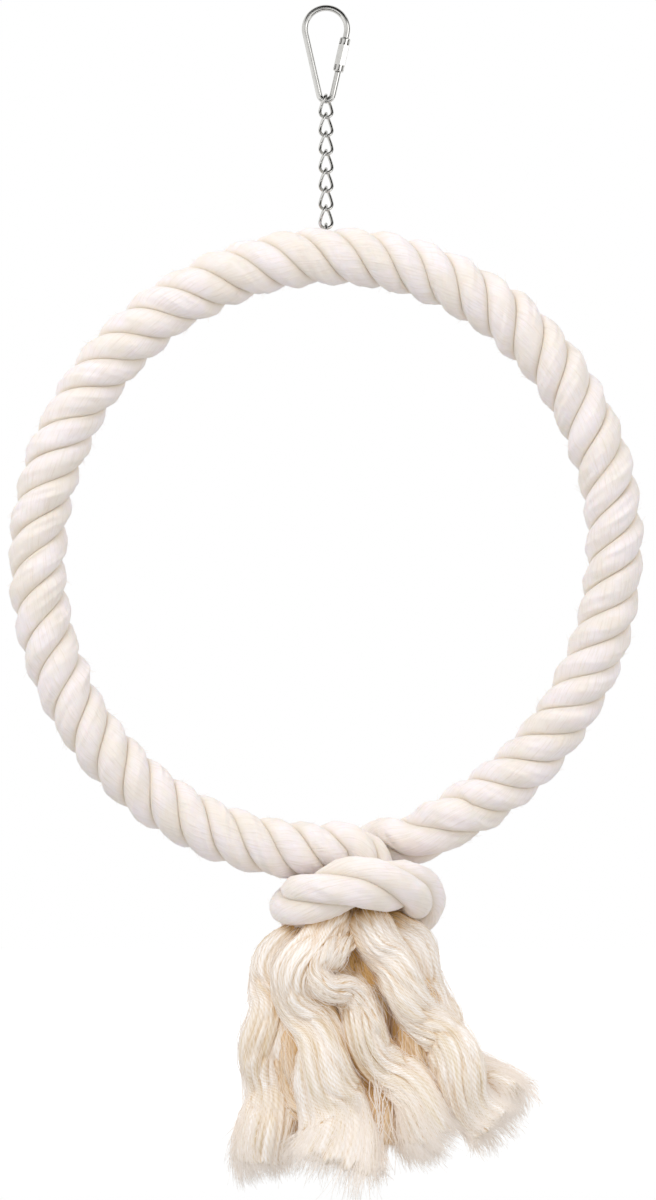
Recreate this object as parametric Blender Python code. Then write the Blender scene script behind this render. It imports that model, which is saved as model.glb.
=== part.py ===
"""Rope ring bird swing that hangs on a short chain and a pear-shaped quick link.

Metres, +Z up, +Y away from the viewer. The origin is the inside top of the quick link's bow,
where a cage bar carries the swing, and all other pieces hang below it.
"""

import math

import bmesh
import bpy
import numpy as np
from mathutils import Vector

MM = 0.001

# Clearances between pieces
SEAT_GAP = 0.30 * MM
SLEEVE_GAP = 0.25 * MM
STRAND_GAP = 0.45 * MM
POCKET_GAP = 0.40 * MM
HEART_GAP = 0.55 * MM
CUT_GAP = 0.40 * MM

# Quick link: a rod bent to a pear, with a gap in the right leg under a screw sleeve
BOW_WIRE = 2.45 * MM
BOW_TOP_RADIUS = 8.30 * MM
BOW_LOW_RADIUS = 2.70 * MM
BOW_SPREAD = 25.40 * MM
SLEEVE_START = 1.80 * MM
SLEEVE_LENGTH = 13.50 * MM
SLEEVE_FLATS = 4.10 * MM
SLEEVE_GRIP = 2.50 * MM
SLEEVE_CHAMFER = 0.45 * MM
GATE_GAP = 5.50 * MM

# Chain: each link is an oval whose two ends lie a quarter turn apart
LINK_COUNT = 7
LINK_WIRE = 1.30 * MM
LINK_INNER_LENGTH = 7.55 * MM
LINK_INNER_WIDTH = 3.90 * MM
LINK_TWIST = math.radians(90.0)
LINK_TOP_TURN = math.radians(90.0)

# Rope ring: three strands laid right-handed round a wire hoop
ROPE_DIAMETER = 23.0 * MM
RING_RADIUS = 115.1 * MM
RING_OVAL = 2.2 * MM
RING_OVAL_TURN = math.radians(18.0)
LAY_LENGTH = 41.0 * MM
GROOVE_DEPTH = 0.20
CHAIN_GROOVE_TURN = math.radians(1.2)
HOOP_WIRE = 2.50 * MM
LINK_SINK = 0.50 * MM
SECTIONS_PER_TWIST = 9
ROUTE_STEP = 0.50 * MM

# Knot: its route is in rope diameters from the point of the ring's centre line above the neck
NECK_TURN = math.radians(174.0)
KNOT_LAY_LENGTH = 75.0 * MM
KNOT_SQUEEZE = 0.91
KNOT_SECTION_STEP = 4.6 * MM
LEFT_END = 0.30
RIGHT_END = 2.10
KNOT_ROUTE = (
    (1.17, 0.30, 0.24),
    (0.76, 0.72, 0.10),
    (0.24, 1.04, -0.12),
    (-0.32, 1.06, -0.62),
    (-0.82, 0.74, -0.96),
    (-1.05, 0.00, -1.00),
    (-0.80, -0.73, -0.80),
    (0.00, -1.04, -0.56),
    (0.76, -0.72, -0.63),
    (1.06, 0.00, -0.80),
    (1.00, 0.36, -1.02),
)

# Tails: in rope diameters from the same point. One lock for each strand stands in a circle
# inside the knot, then follows its own route with its own radius.
NECK_REACH = 0.370
NECK_RADIUS = 0.170
NECK_TOP = -0.62
NECK_LOW = -1.05
TAIL_ROUTES = {
    "left_tail_lock_1": (
        math.pi,
        (-0.70, -0.03, -1.67, 0.22),
        (-1.36, 0.13, -2.12, 0.44),
        (-1.52, 0.14, -3.00, 0.50),
        (-1.56, 0.08, -4.30, 0.55),
        (-1.57, 0.08, -5.42, 0.54),
    ),
    "left_tail_lock_2": (
        math.pi * 4.0 / 3.0,
        (-0.53, -0.52, -1.50, 0.26),
        (-0.98, -0.73, -2.12, 0.44),
        (-0.74, -0.72, -2.90, 0.48),
        (-0.60, -0.67, -4.20, 0.62),
        (-0.37, -0.65, -5.50, 0.75),
    ),
    "left_tail_lock_3": (
        math.pi * 2.0 / 3.0,
        (-0.21, 0.37, -1.50, 0.25),
        (-0.19, 0.01, -2.35, 0.42),
        (0.12, -0.10, -3.20, 0.46),
        (0.58, -0.10, -4.10, 0.45),
        (0.65, -0.02, -5.20, 0.46),
    ),
    "right_tail_lock_1": (
        math.pi * 5.0 / 3.0,
        (0.30, -0.57, -1.46, 0.28),
        (0.46, -0.76, -2.20, 0.44),
        (0.90, -0.80, -3.15, 0.46),
        (1.46, -0.75, -4.18, 0.52),
        (1.91, -0.75, -5.05, 0.59),
    ),
    "right_tail_lock_2": (
        0.0,
        (0.77, -0.19, -1.50, 0.27),
        (1.32, -0.05, -2.00, 0.44),
        (1.64, 0.00, -2.90, 0.46),
        (2.16, 0.01, -3.86, 0.50),
        (2.55, 0.13, -4.75, 0.51),
    ),
    "right_tail_lock_3": (
        math.pi / 3.0,
        (0.50, 0.51, -1.57, 0.25),
        (0.70, 0.72, -2.30, 0.44),
        (0.84, 0.77, -3.20, 0.50),
        (1.11, 0.81, -4.25, 0.54),
        (1.26, 0.81, -5.15, 0.55),
    ),
}

STEEL = ((0.62, 0.61, 0.58, 1.0), 0.25, 1.0)
HOOP_STEEL = ((0.40, 0.39, 0.38, 1.0), 0.45, 1.0)
COTTON = ((0.86, 0.80, 0.72, 1.0), 0.90, 0.0)


def clear_scene():
    for ob in list(bpy.data.objects):
        bpy.data.objects.remove(ob, do_unlink=True)


def dress(ob, look):
    colour, roughness, metallic = look
    mat = bpy.data.materials.new(ob.name + "_material")
    mat.use_nodes = True
    mat.diffuse_color = colour
    shader = mat.node_tree.nodes["Principled BSDF"]
    shader.inputs["Base Color"].default_value = colour
    shader.inputs["Roughness"].default_value = roughness
    shader.inputs["Metallic"].default_value = metallic
    ob.data.materials.clear()
    ob.data.materials.append(mat)


def place(ob, pivot, parent, parent_pivot):
    """Puts an object's origin at pivot, where its joint is, under its parent."""
    ob.parent = parent
    ob.location = Vector(pivot) - Vector(parent_pivot)


def tube(name, points, radius, look, closed=False, resolution=1, swell=None):
    """A round bar along points: a bevelled poly curve with filled ends."""
    data = bpy.data.curves.new(name, "CURVE")
    data.dimensions = "3D"
    data.bevel_depth = radius
    data.bevel_resolution = resolution
    data.use_fill_caps = True
    line = data.splines.new("POLY")
    line.points.add(len(points) - 1)
    for i, p in enumerate(points):
        line.points[i].co = (p[0], p[1], p[2], 1.0)
        line.points[i].radius = 1.0 if swell is None else swell[i]
    line.use_cyclic_u = closed
    line.use_smooth = True
    ob = bpy.data.objects.new(name, data)
    bpy.context.scene.collection.objects.link(ob)
    dress(ob, look)
    return ob


def solid(name, verts, faces, look, smooth=True):
    """A closed mesh from points and faces, its faces turned outwards."""
    mesh = bpy.data.meshes.new(name)
    bm = bmesh.new()
    added = [bm.verts.new(v) for v in verts]
    for f in faces:
        bm.faces.new([added[i] for i in f])
    bmesh.ops.recalc_face_normals(bm, faces=bm.faces)
    for f in bm.faces:
        f.smooth = smooth
    bm.to_mesh(mesh)
    bm.free()
    ob = bpy.data.objects.new(name, mesh)
    bpy.context.scene.collection.objects.link(ob)
    dress(ob, look)
    return ob


def cut(ob, tool, operation="DIFFERENCE"):
    """Cuts one object with another, which stays as a hidden cutter."""
    change = ob.modifiers.new(tool.name, "BOOLEAN")
    change.operation = operation
    change.solver = "EXACT"
    change.object = tool
    tool.hide_render = True
    tool.display_type = "WIRE"


def arc(centre, radius, start, end, count):
    """Points of an arc in the XZ plane; angles run from +X to +Z."""
    angles = np.linspace(start, end, count)
    return [
        (centre[0] + radius * math.cos(a), 0.0, centre[1] + radius * math.sin(a)) for a in angles
    ]


def smooth_route(points, per_span):
    """A smooth curve through hand-chosen points, each with any number of values."""
    p = np.array(points, float)
    p = np.vstack([2.0 * p[0] - p[1], p, 2.0 * p[-1] - p[-2]])
    u = np.linspace(0.0, 1.0, per_span, endpoint=False)[:, None]
    out = []
    for i in range(1, len(p) - 2):
        a, b, c, d = p[i - 1], p[i], p[i + 1], p[i + 2]
        out.append(
            b
            + 0.5 * u * (c - a)
            + u**2 * (a - 2.5 * b + 2.0 * c - 0.5 * d)
            + 0.5 * u**3 * (3.0 * b - 3.0 * c + d - a)
        )
    return np.vstack(out + [p[-2][None, :]])


def blend(x):
    """Rises smoothly from 0 to 1 as x does."""
    x = np.clip(x, 0.0, 1.0)
    return x * x * (3.0 - 2.0 * x)


clear_scene()

# Quick link. The legs are the common tangents of the two bows.
top_centre = (0.0, BOW_WIRE / 2 - BOW_TOP_RADIUS)
low_centre = (0.0, top_centre[1] - BOW_SPREAD)
lean = math.asin((BOW_TOP_RADIUS - BOW_LOW_RADIUS) / BOW_SPREAD)
leg_start = np.array(arc(top_centre, BOW_TOP_RADIUS, -lean, -lean, 1)[0])
leg_end = np.array(arc(low_centre, BOW_LOW_RADIUS, -lean, -lean, 1)[0])
leg_way = (leg_end - leg_start) / np.linalg.norm(leg_end - leg_start)
gate_top = leg_start + leg_way * (SLEEVE_START + SLEEVE_GRIP)
gate_low = gate_top + leg_way * GATE_GAP
bow_points = [tuple(gate_low)]
bow_points += arc(low_centre, BOW_LOW_RADIUS, -lean, lean - math.pi, 11)
bow_points += arc(top_centre, BOW_TOP_RADIUS, math.pi + lean, -lean, 21)
bow_points += [tuple(gate_top)]
bow = tube("quick_link_bow", bow_points, BOW_WIRE / 2, STEEL, resolution=2)

# Screw sleeve: a six-sided bar with turned ends and a bore for the rod. Its origin is on the
# leg's axis at its upper end, and it slides down to open the gate.
sleeve_top = leg_start + leg_way * SLEEVE_START
corner = SLEEVE_FLATS / math.sqrt(3.0)
outer_sides = 24
rings = (
    (0.0, corner - SLEEVE_CHAMFER),
    (SLEEVE_CHAMFER, corner + SLEEVE_CHAMFER * 0.2),
    (SLEEVE_LENGTH - SLEEVE_CHAMFER, corner + SLEEVE_CHAMFER * 0.2),
    (SLEEVE_LENGTH, corner - SLEEVE_CHAMFER),
)
side = np.cross(leg_way, (0.0, 1.0, 0.0))
front = np.array((0.0, -1.0, 0.0))


def sleeve_ring(down, radius, count, turn=0.0):
    """Points of a ring round the leg, down from the sleeve's upper end."""
    angles = turn + np.arange(count) * 2.0 * math.pi / count
    return [down * leg_way + radius * (math.cos(a) * side + math.sin(a) * front) for a in angles]


def stack(levels, count):
    """Faces that join rings of count points, with both ends closed."""
    faces = []
    for j in range(levels - 1):
        for i in range(count):
            k = (i + 1) % count
            faces.append((j * count + i, j * count + k, (j + 1) * count + k, (j + 1) * count + i))
    faces.append(tuple(range(count)))
    faces.append(tuple((levels - 1) * count + i for i in range(count)))
    return faces


hexagon = sleeve_ring(0.0, corner, 6) + sleeve_ring(SLEEVE_LENGTH, corner, 6)
sleeve = solid("quick_link_sleeve", hexagon, stack(2, 6), STEEL, smooth=False)
turned = [p for down, radius in rings for p in sleeve_ring(down, radius, outer_sides)]
turned_ends = solid("sleeve_turned_ends", turned, stack(4, outer_sides), STEEL)
bore_radius = BOW_WIRE / 2 + SLEEVE_GAP
bored = sleeve_ring(-SLEEVE_LENGTH, bore_radius, 16) + sleeve_ring(2 * SLEEVE_LENGTH, bore_radius, 16)
sleeve_bore = solid("sleeve_bore", bored, stack(2, 16), STEEL)
for piece in (sleeve, turned_ends, sleeve_bore):
    place(piece, sleeve_top, bow, (0.0, 0.0, 0.0))
cut(sleeve, turned_ends, "INTERSECT")
cut(sleeve, sleeve_bore)

# Chain. Every link hangs with its upper end across the wire that carries it.
link_half = (LINK_INNER_LENGTH + LINK_WIRE) / 2
link_radius = (LINK_INNER_WIDTH + LINK_WIRE) / 2
link_pitch = LINK_INNER_LENGTH - SEAT_GAP


def oval(half_length, radius, twist, top_turn, per_end=9, per_side=2):
    """A link's centre line, its upper end at zero height, its two ends turned by twist."""
    straight = half_length - radius
    flat = []
    for a in np.linspace(0.0, math.pi, per_end):
        flat.append((radius * math.cos(a), straight + radius * math.sin(a)))
    for u in np.linspace(0.0, 1.0, per_side + 2)[1:-1]:
        flat.append((-radius, straight * (1.0 - 2.0 * u)))
    for a in np.linspace(math.pi, 2.0 * math.pi, per_end):
        flat.append((radius * math.cos(a), -straight + radius * math.sin(a)))
    for u in np.linspace(0.0, 1.0, per_side + 2)[1:-1]:
        flat.append((radius, straight * (2.0 * u - 1.0)))
    points = []
    for across, up in flat:
        turn = top_turn - twist * (half_length - up) / (2.0 * half_length)
        points.append((across * math.cos(turn), across * math.sin(turn), up - half_length))
    return points


bow_low_z = low_centre[1] - BOW_LOW_RADIUS
carrier_z = bow_low_z
carrier_wire = BOW_WIRE
parent = bow
parent_pivot = (0.0, 0.0, 0.0)
link_line = oval(link_half, link_radius, LINK_TWIST, LINK_TOP_TURN)
for n in range(1, LINK_COUNT + 1):
    top_z = carrier_z + (carrier_wire + LINK_WIRE) / 2 + SEAT_GAP
    rocks_on_carrier = n % 2 == 0
    pivot = (0.0, 0.0, carrier_z if rocks_on_carrier else top_z)
    local = [(x, y, z + top_z - pivot[2]) for x, y, z in link_line]
    link = tube("chain_link_%d" % n, local, LINK_WIRE / 2, STEEL, closed=True)
    place(link, pivot, parent, parent_pivot)
    parent = link
    parent_pivot = pivot
    carrier_z = top_z - 2.0 * link_half
    carrier_wire = LINK_WIRE
last_link = parent
last_link_pivot = parent_pivot

# The ring swings on the last link's lower end, so its pieces have their origin there.
ring_pivot = np.array((0.0, 0.0, carrier_z))
rope_radius = ROPE_DIAMETER / 2
ring_top_z = carrier_z + LINK_SINK - rope_radius
ring_centre_z = ring_top_z - RING_RADIUS - RING_OVAL * math.cos(2.0 * RING_OVAL_TURN)


def hang(ob):
    place(ob, ring_pivot, last_link, last_link_pivot)
    return ob


def ring_line(turn):
    """The ring's centre line; turn runs clockwise from the top as the viewer sees it."""
    turn = np.asarray(turn, float)
    reach = RING_RADIUS + RING_OVAL * np.cos(2.0 * (turn - RING_OVAL_TURN))
    return np.stack(
        [reach * np.sin(turn), 0.0 * turn, ring_centre_z + reach * np.cos(turn)], axis=-1
    )


# The rope's route: the ring from its left end round to its right end, then the knot's turn.
neck = ring_line(NECK_TURN)
first_turn = NECK_TURN - LEFT_END * ROPE_DIAMETER / RING_RADIUS - 2.0 * math.pi
last_turn = NECK_TURN - RIGHT_END * ROPE_DIAMETER / RING_RADIUS
ring_samples = int(round((last_turn - first_turn) * RING_RADIUS / ROUTE_STEP))
ring_route = ring_line(np.linspace(first_turn, last_turn, ring_samples))
lead = 0.4 * ROPE_DIAMETER / RING_RADIUS
knot_points = [tuple(ring_line(last_turn + lead * step)) for step in (-1.0, 0.0, 1.0)]
knot_points += [tuple(neck + ROPE_DIAMETER * np.array(p)) for p in KNOT_ROUTE]
knot_span = int(round(ROPE_DIAMETER / ROUTE_STEP))
knot_route = smooth_route(knot_points, knot_span)[knot_span + 1 :]
route = np.vstack([ring_route, knot_route])
run = np.concatenate([[0.0], np.cumsum(np.linalg.norm(np.diff(route, axis=0), axis=1))])
ring_run = run[len(ring_route) - 1]


def even(values, at):
    return np.stack([np.interp(at, run, values[:, i]) for i in range(3)], axis=-1)


# Directions across the rope, carried along it without turning about it.
ahead = np.gradient(route, run, axis=0)
ahead /= np.linalg.norm(ahead, axis=1)[:, None]
outward = np.empty_like(route)
outward[0] = (math.sin(first_turn), 0.0, math.cos(first_turn))
outward[0] -= ahead[0] * np.dot(outward[0], ahead[0])
outward[0] /= np.linalg.norm(outward[0])
for i in range(1, len(route)):
    carried = outward[i - 1] - ahead[i] * np.dot(outward[i - 1], ahead[i])
    outward[i] = carried / np.linalg.norm(carried)
forward = np.cross(ahead, outward)

# The lay opens in the knot, where the rope is also squeezed thinner.
in_knot = blend((run - ring_run) / (1.3 * ROPE_DIAMETER))
lay_here = LAY_LENGTH + (KNOT_LAY_LENGTH - LAY_LENGTH) * in_knot
twist = np.concatenate([[0.0], np.cumsum(np.diff(run) * 2.0 * math.pi / lay_here[1:])])
groove_run = ring_run * (CHAIN_GROOVE_TURN - first_turn) / (last_turn - first_turn)
twist += math.pi / 3.0 - np.interp(groove_run, run, twist)
thick = 1.0 + (KNOT_SQUEEZE - 1.0) * in_knot

heart_radius = (HOOP_WIRE / 2 + HEART_GAP) / math.cos(math.pi / 3.0)


def strand(name, number, stations):
    """One strand: a third of the rope's section, twisted along its route.

    The section is a sector with a rounded outer side. Its two walls keep half the strand gap
    from the planes between strands, measured square to the strand.
    """
    centre = even(route, stations)
    way_out = even(outward, stations)
    way_front = even(forward, stations)
    phase = np.interp(stations, run, twist) + number * 2.0 * math.pi / 3.0
    size = np.interp(stations, run, thick)
    pitch = np.interp(stations, run, lay_here) / (2.0 * math.pi)
    shares = (-1.0, -0.62, -0.21, 0.21, 0.62, 1.0)
    columns = []
    for share in shares:
        reach = rope_radius * size * (1.0 - GROOVE_DEPTH * abs(share) ** 3)
        wall = 0.5 * STRAND_GAP * np.sqrt(1.0 + (reach / pitch) ** 2) / reach
        columns.append((reach, phase + share * (math.pi / 3.0 - wall)))
    for share in (1.0, -1.0):
        reach = heart_radius * np.ones_like(size)
        wall = 0.5 * STRAND_GAP * np.sqrt(1.0 + (reach / pitch) ** 2) / reach
        columns.append((reach, phase + share * (math.pi / 3.0 - wall)))
    sides = len(columns)
    grid = np.empty((len(stations), sides, 3))
    for i, (reach, angle) in enumerate(columns):
        grid[:, i] = (
            centre
            + (reach * np.cos(angle))[:, None] * way_out
            + (reach * np.sin(angle))[:, None] * way_front
        )
    faces = []
    for j in range(len(stations) - 1):
        for i in range(sides):
            k = (i + 1) % sides
            a, b, c, d = j * sides + i, j * sides + k, (j + 1) * sides + k, (j + 1) * sides + i
            # facing walls of two strands are split along the same diagonal, so they stay apart,
            # and the inner side along the one that keeps clear of the hoop
            if i >= sides - 2:
                faces += [(a, b, c), (a, c, d)]
            else:
                faces += [(a, b, d), (b, c, d)]
    faces.append(tuple(range(sides)))
    faces.append(tuple((len(stations) - 1) * sides + i for i in range(sides)))
    return solid(name, (grid - ring_pivot).reshape(-1, 3), faces, COTTON)


ring_sections = int(round(SECTIONS_PER_TWIST * ring_run / LAY_LENGTH)) + 1
ring_stations = np.linspace(0.0, ring_run - CUT_GAP / 2, ring_sections)
knot_sections = int(round((run[-1] - ring_run) / KNOT_SECTION_STEP)) + 1
knot_stations = np.linspace(ring_run + CUT_GAP / 2, run[-1], knot_sections)
ring_strands = [hang(strand("ring_strand_%d" % (n + 1), n, ring_stations)) for n in range(3)]
knot_strands = [hang(strand("knot_strand_%d" % (n + 1), n, knot_stations)) for n in range(3)]

# Hoop in the rope's heart, open where the rope leaves the ring for the knot.
hoop_turns = np.linspace(first_turn, last_turn - 0.3 * ROPE_DIAMETER / RING_RADIUS, 72)
hoop_points = [tuple(p - ring_pivot) for p in ring_line(hoop_turns)]
core_hoop = hang(tube("core_hoop", hoop_points, HOOP_WIRE / 2, HOOP_STEEL))

# Joining ring: from the last link's lower end down round the hoop, lying across the rope.
joining_top = carrier_z + LINK_WIRE + SEAT_GAP
joining_low = ring_top_z - (HOOP_WIRE + LINK_WIRE) / 2 - SEAT_GAP
joining_half = (joining_top - joining_low) / 2
joining_radius = max(LINK_INNER_WIDTH, HOOP_WIRE + 2.0 * SEAT_GAP) / 2 + LINK_WIRE / 2
joining_line = oval(joining_half, joining_radius, 0.0, math.pi / 2.0)
joining_line = [(x, y, z + joining_top - ring_pivot[2]) for x, y, z in joining_line]
joining_ring = hang(tube("joining_ring", joining_line, LINK_WIRE / 2, HOOP_STEEL, closed=True))

# Room in the lay for the joining ring and for the last link's lower end.
slot_half = LINK_WIRE / 2 + POCKET_GAP
slot_line = oval(joining_half + slot_half, joining_radius + slot_half, 0.0, math.pi / 2.0)
slot_lift = joining_top + slot_half - ring_pivot[2]
slot = [(x, y, z + slot_lift) for x in (-slot_half, slot_half) for _, y, z in slot_line]
joining_slot = hang(solid("joining_slot", slot, stack(2, len(slot_line)), COTTON))
pocket_radius = LINK_WIRE / 2 + 2.0 * POCKET_GAP
pocket_half = link_radius + LINK_WIRE / 2 + POCKET_GAP
pocket_turns = np.arange(16) * math.pi / 8.0
pocket = [
    (x, pocket_radius * math.cos(a), pocket_radius * math.sin(a))
    for x in (-pocket_half, pocket_half)
    for a in pocket_turns
]
link_pocket = hang(solid("link_pocket", pocket, stack(2, 16), COTTON))
for piece in ring_strands:
    cut(piece, joining_slot)
    cut(piece, link_pocket)

# Tails: both rope ends below the knot, unlaid into one wavy lock for each strand.
for name, (around, *route_points) in TAIL_ROUTES.items():
    across = (NECK_REACH * math.cos(around), NECK_REACH * math.sin(around))
    stem = [(*across, level, NECK_RADIUS) for level in (NECK_TOP, NECK_LOW)]
    wave = smooth_route(stem + route_points, 3)
    tail_points = [tuple(neck + ROPE_DIAMETER * p[:3] - ring_pivot) for p in wave]
    hang(tube(name, tail_points, ROPE_DIAMETER, COTTON, resolution=2, swell=list(wave[:, 3])))

bpy.context.view_layer.update()
print("ring pivot z mm", round(ring_pivot[2] / MM, 3), "ring centre z mm", round(ring_centre_z / MM, 3))
print("rope length mm", round(run[-1] / MM, 1), "ring part mm", round(ring_run / MM, 1))
print("sleeve top mm", [round(v / MM, 3) for v in sleeve_top], "way", [round(v, 5) for v in leg_way])
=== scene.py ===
import math
from functools import partial

import bpy
import numpy as np
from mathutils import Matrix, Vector
from numpy import cos, pi, sin


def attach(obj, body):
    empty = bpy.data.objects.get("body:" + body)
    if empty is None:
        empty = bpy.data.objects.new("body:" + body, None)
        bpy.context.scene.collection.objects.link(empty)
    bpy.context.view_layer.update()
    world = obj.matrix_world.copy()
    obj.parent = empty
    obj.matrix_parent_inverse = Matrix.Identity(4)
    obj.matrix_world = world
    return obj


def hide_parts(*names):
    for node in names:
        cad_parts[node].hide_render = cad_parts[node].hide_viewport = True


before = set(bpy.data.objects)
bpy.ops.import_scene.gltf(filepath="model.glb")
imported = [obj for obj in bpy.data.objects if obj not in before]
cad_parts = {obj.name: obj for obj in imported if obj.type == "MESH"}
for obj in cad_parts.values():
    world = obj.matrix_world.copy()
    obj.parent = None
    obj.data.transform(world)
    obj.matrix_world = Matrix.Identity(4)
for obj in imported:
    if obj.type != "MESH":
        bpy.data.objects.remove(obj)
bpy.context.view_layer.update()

# Quick link bow. A 2.45 mm steel rod is bent to a pear and nickel plated. A thread is cut on
# both ends, which face each other across the gate in the right leg, and a cage bar carries the
# inside of the top bend, where the origin is.
BOW_WIRE = 0.00245
BOW_TOP_RADIUS = 0.00830
BOW_LOW_RADIUS = 0.00270
BOW_SPREAD = 0.02540
SLEEVE_START = 0.00180
SLEEVE_GRIP = 0.00250
SLEEVE_LENGTH = 0.01350
GATE_GAP = 0.00550
THREAD_PITCH = 0.00050
THREAD_DEPTH = 0.00022
THREAD_ROWS = 10
BOW_SIDES = 32
LOWER_LEG_ROWS, LEFT_LEG_ROWS, UPPER_LEG_ROWS = 20, 24, 8
LOW_BEND_ROWS, TOP_BEND_ROWS = 48, 96
ROUNDING = 1e-9


def linear(code):
    """A colour written as sRGB hex, turned to linear red, green, blue and alpha."""
    parts = np.array([int(code[i : i + 2], 16) for i in (1, 3, 5)]) / 255.0
    parts = np.where(parts <= 0.04045, parts / 12.92, ((parts + 0.055) / 1.055) ** 2.4)
    return (*parts.tolist(), 1.0)


def feed(node, links):
    """Links sockets to a node's inputs; a node stands for its first live output."""
    for key, source in links.items():
        if isinstance(source, bpy.types.Node):
            source = next(socket for socket in source.outputs if socket.enabled)
        node.id_data.links.new(source, node.inputs[key])


def add(tree, kind, values=(), links=(), **settings):
    """Adds one shader node with its properties, the values of its inputs and what feeds them."""
    made = tree.nodes.new("ShaderNode" + kind)
    for key, value in settings.items():
        setattr(made, key, value)
    for key, value in dict(values).items():
        made.inputs[key].default_value = value
    feed(made, dict(links))
    return made


def finish_named(name, **values):
    """A new material, its Principled shader with these values set, and what adds its nodes."""
    made = bpy.data.materials.new(name)
    made.use_nodes = True
    shader = made.node_tree.nodes["Principled BSDF"]
    for key, value in values.items():
        shader.inputs[key.replace("_", " ").title().replace("Ior", "IOR")].default_value = value
    return made, shader, partial(add, made.node_tree)


def put_object(name, data):
    """A new object of the scene that shows a mesh, a lamp or a camera."""
    made = bpy.data.objects.new(name, data)
    bpy.context.scene.collection.objects.link(made)
    return made


def put_mesh(name, points, quads, triangles, material):
    """An object at the origin from points and the corners of its four- and three-sided faces.

    The faces are turned round where the volume that they enclose comes out negative.
    """
    faces = [quads, triangles]
    fans = [(points[face], points[np.roll(face, -1, axis=1)]) for face in faces]
    if sum(np.einsum("ik,ijk->", a[:, 0], np.cross(a, b)) for a, b in fans) < 0.0:
        faces = [face[:, ::-1] for face in faces]
    corners = np.concatenate([face.ravel() for face in faces])
    starts = np.concatenate([np.arange(0, quads.size, 4), np.arange(quads.size, len(corners), 3)])
    mesh = bpy.data.meshes.new(name)
    mesh.vertices.add(len(points))
    mesh.vertices.foreach_set("co", points.astype(np.float32).ravel())
    mesh.loops.add(len(corners))
    mesh.loops.foreach_set("vertex_index", corners.astype(np.int32))
    mesh.polygons.add(len(starts))
    mesh.polygons.foreach_set("loop_start", starts.astype(np.int32))
    mesh.polygons.foreach_set("use_smooth", np.ones(len(starts), bool))
    mesh.materials.append(material)
    mesh.update(calc_edges=True)
    return put_object(name, mesh)


def tube_quads(count, rows, columns, closed=False):
    """Corners of the quads that join the neighbouring rows of points of one or more tubes."""
    tube = np.arange(count)[:, None, None] * rows * columns
    row = np.arange(rows if closed else rows - 1)[:, None]
    here, after = tube + row * columns, tube + (row + 1) % rows * columns
    column = np.arange(columns)
    beside = (column + 1) % columns
    quads = [here + column, here + beside, after + beside, after + column]
    return np.stack(quads, axis=-1).reshape(-1, 4)


def skin(name, grid, material, closed=False):
    """A tube from a grid of points: rows go along it and columns round it.

    A closed tube joins its last row to its first. An open one gets a flat fan over each end.
    """
    rows, columns = grid.shape[:2]
    points = grid.reshape(-1, 3)
    fans = np.empty((0, 3), int)
    if not closed:
        ring = np.arange(columns)
        turn = (ring + 1) % columns
        middle, last = np.full(columns, len(points)), len(points) - columns
        fans = np.vstack([np.stack([middle, turn, ring], axis=-1),
                          np.stack([middle + 1, last + ring, last + turn], axis=-1)])
        points = np.vstack([points, grid[0].mean(axis=0), grid[-1].mean(axis=0)])
    return put_mesh(name, points, tube_quads(1, rows, columns, closed), fans, material)


def unit(vectors):
    """Vectors of length one in the same directions."""
    return vectors / np.linalg.norm(vectors, axis=-1, keepdims=True)


def square_to(ahead, vectors):
    """Directions across: vectors less their part along ahead, made one long."""
    return unit(vectors - ahead * np.einsum("...k,...k->...", ahead, vectors)[..., None])


def rod(centre, across, radius, sides, closed=False):
    """Grid of a round bar, or of many: centre + radius (cos a across + sin a (ahead x across)).

    radius is a number or an array of rows and columns, of which either may be one long.
    """
    if closed:
        ahead = unit(np.roll(centre, -1, axis=-2) - np.roll(centre, 1, axis=-2))
    else:
        ahead = unit(np.gradient(centre, axis=-2))
    across = square_to(ahead, across)
    other = np.cross(ahead, across)
    angle = (np.arange(sides) * 2.0 * pi / sides)[:, None]
    around = cos(angle) * across[..., None, :] + sin(angle) * other[..., None, :]
    return centre[..., None, :] + np.asarray(radius)[..., None] * around


# Bright nickel over drawn steel: a near mirror of a neutral grey, with the fine grain of drawn
# wire and the soft patches that handling leaves. Painted shade darkens the sleeve's flutes.
nickel, shader, node = finish_named("nickel_plated_steel", metallic=1.0, roughness=0.16)
place = node("TexCoord").outputs["Object"]
handled = node("TexNoise", {"Scale": 1 / 0.0025, "Detail": 3.0}, {"Vector": place})
polish = node("MapRange", {"From Min": 0.35, "From Max": 0.70, "To Min": 0.12, "To Max": 0.19},
              {"Value": handled})
plated = node("Mix", {6: linear("#D9D8D5"), 7: linear("#C3C2BE")}, {0: handled}, data_type="RGBA")
# Painted shade: the flutes' depth darkens the plating's colour.
flute_shade = node("Attribute", attribute_name="flute_shade").outputs["Fac"]
flute_shaded = node("Mix", {7: linear("#4A4845")}, {0: flute_shade, 6: plated}, data_type="RGBA")
drawn = node("TexNoise", {"Scale": 1 / 0.0004, "Detail": 2.0}, {"Vector": place})
lines = node("Bump", {"Strength": 0.015, "Distance": 0.0001}, {"Height": drawn})
feed(shader, {"Roughness": polish, "Base Color": flute_shaded, "Normal": lines})

top_centre = np.array((0.0, 0.0, BOW_WIRE / 2 - BOW_TOP_RADIUS))
low_centre = top_centre - (0.0, 0.0, BOW_SPREAD)
lean = math.asin((BOW_TOP_RADIUS - BOW_LOW_RADIUS) / BOW_SPREAD)


def bend(centre, radius, angle):
    """Points of a bend in the XZ plane, centre + radius (cos a, 0, sin a), and its ways out."""
    out = np.stack([cos(angle), 0.0 * angle, sin(angle)], axis=-1)
    return centre + radius * out, out


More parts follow.
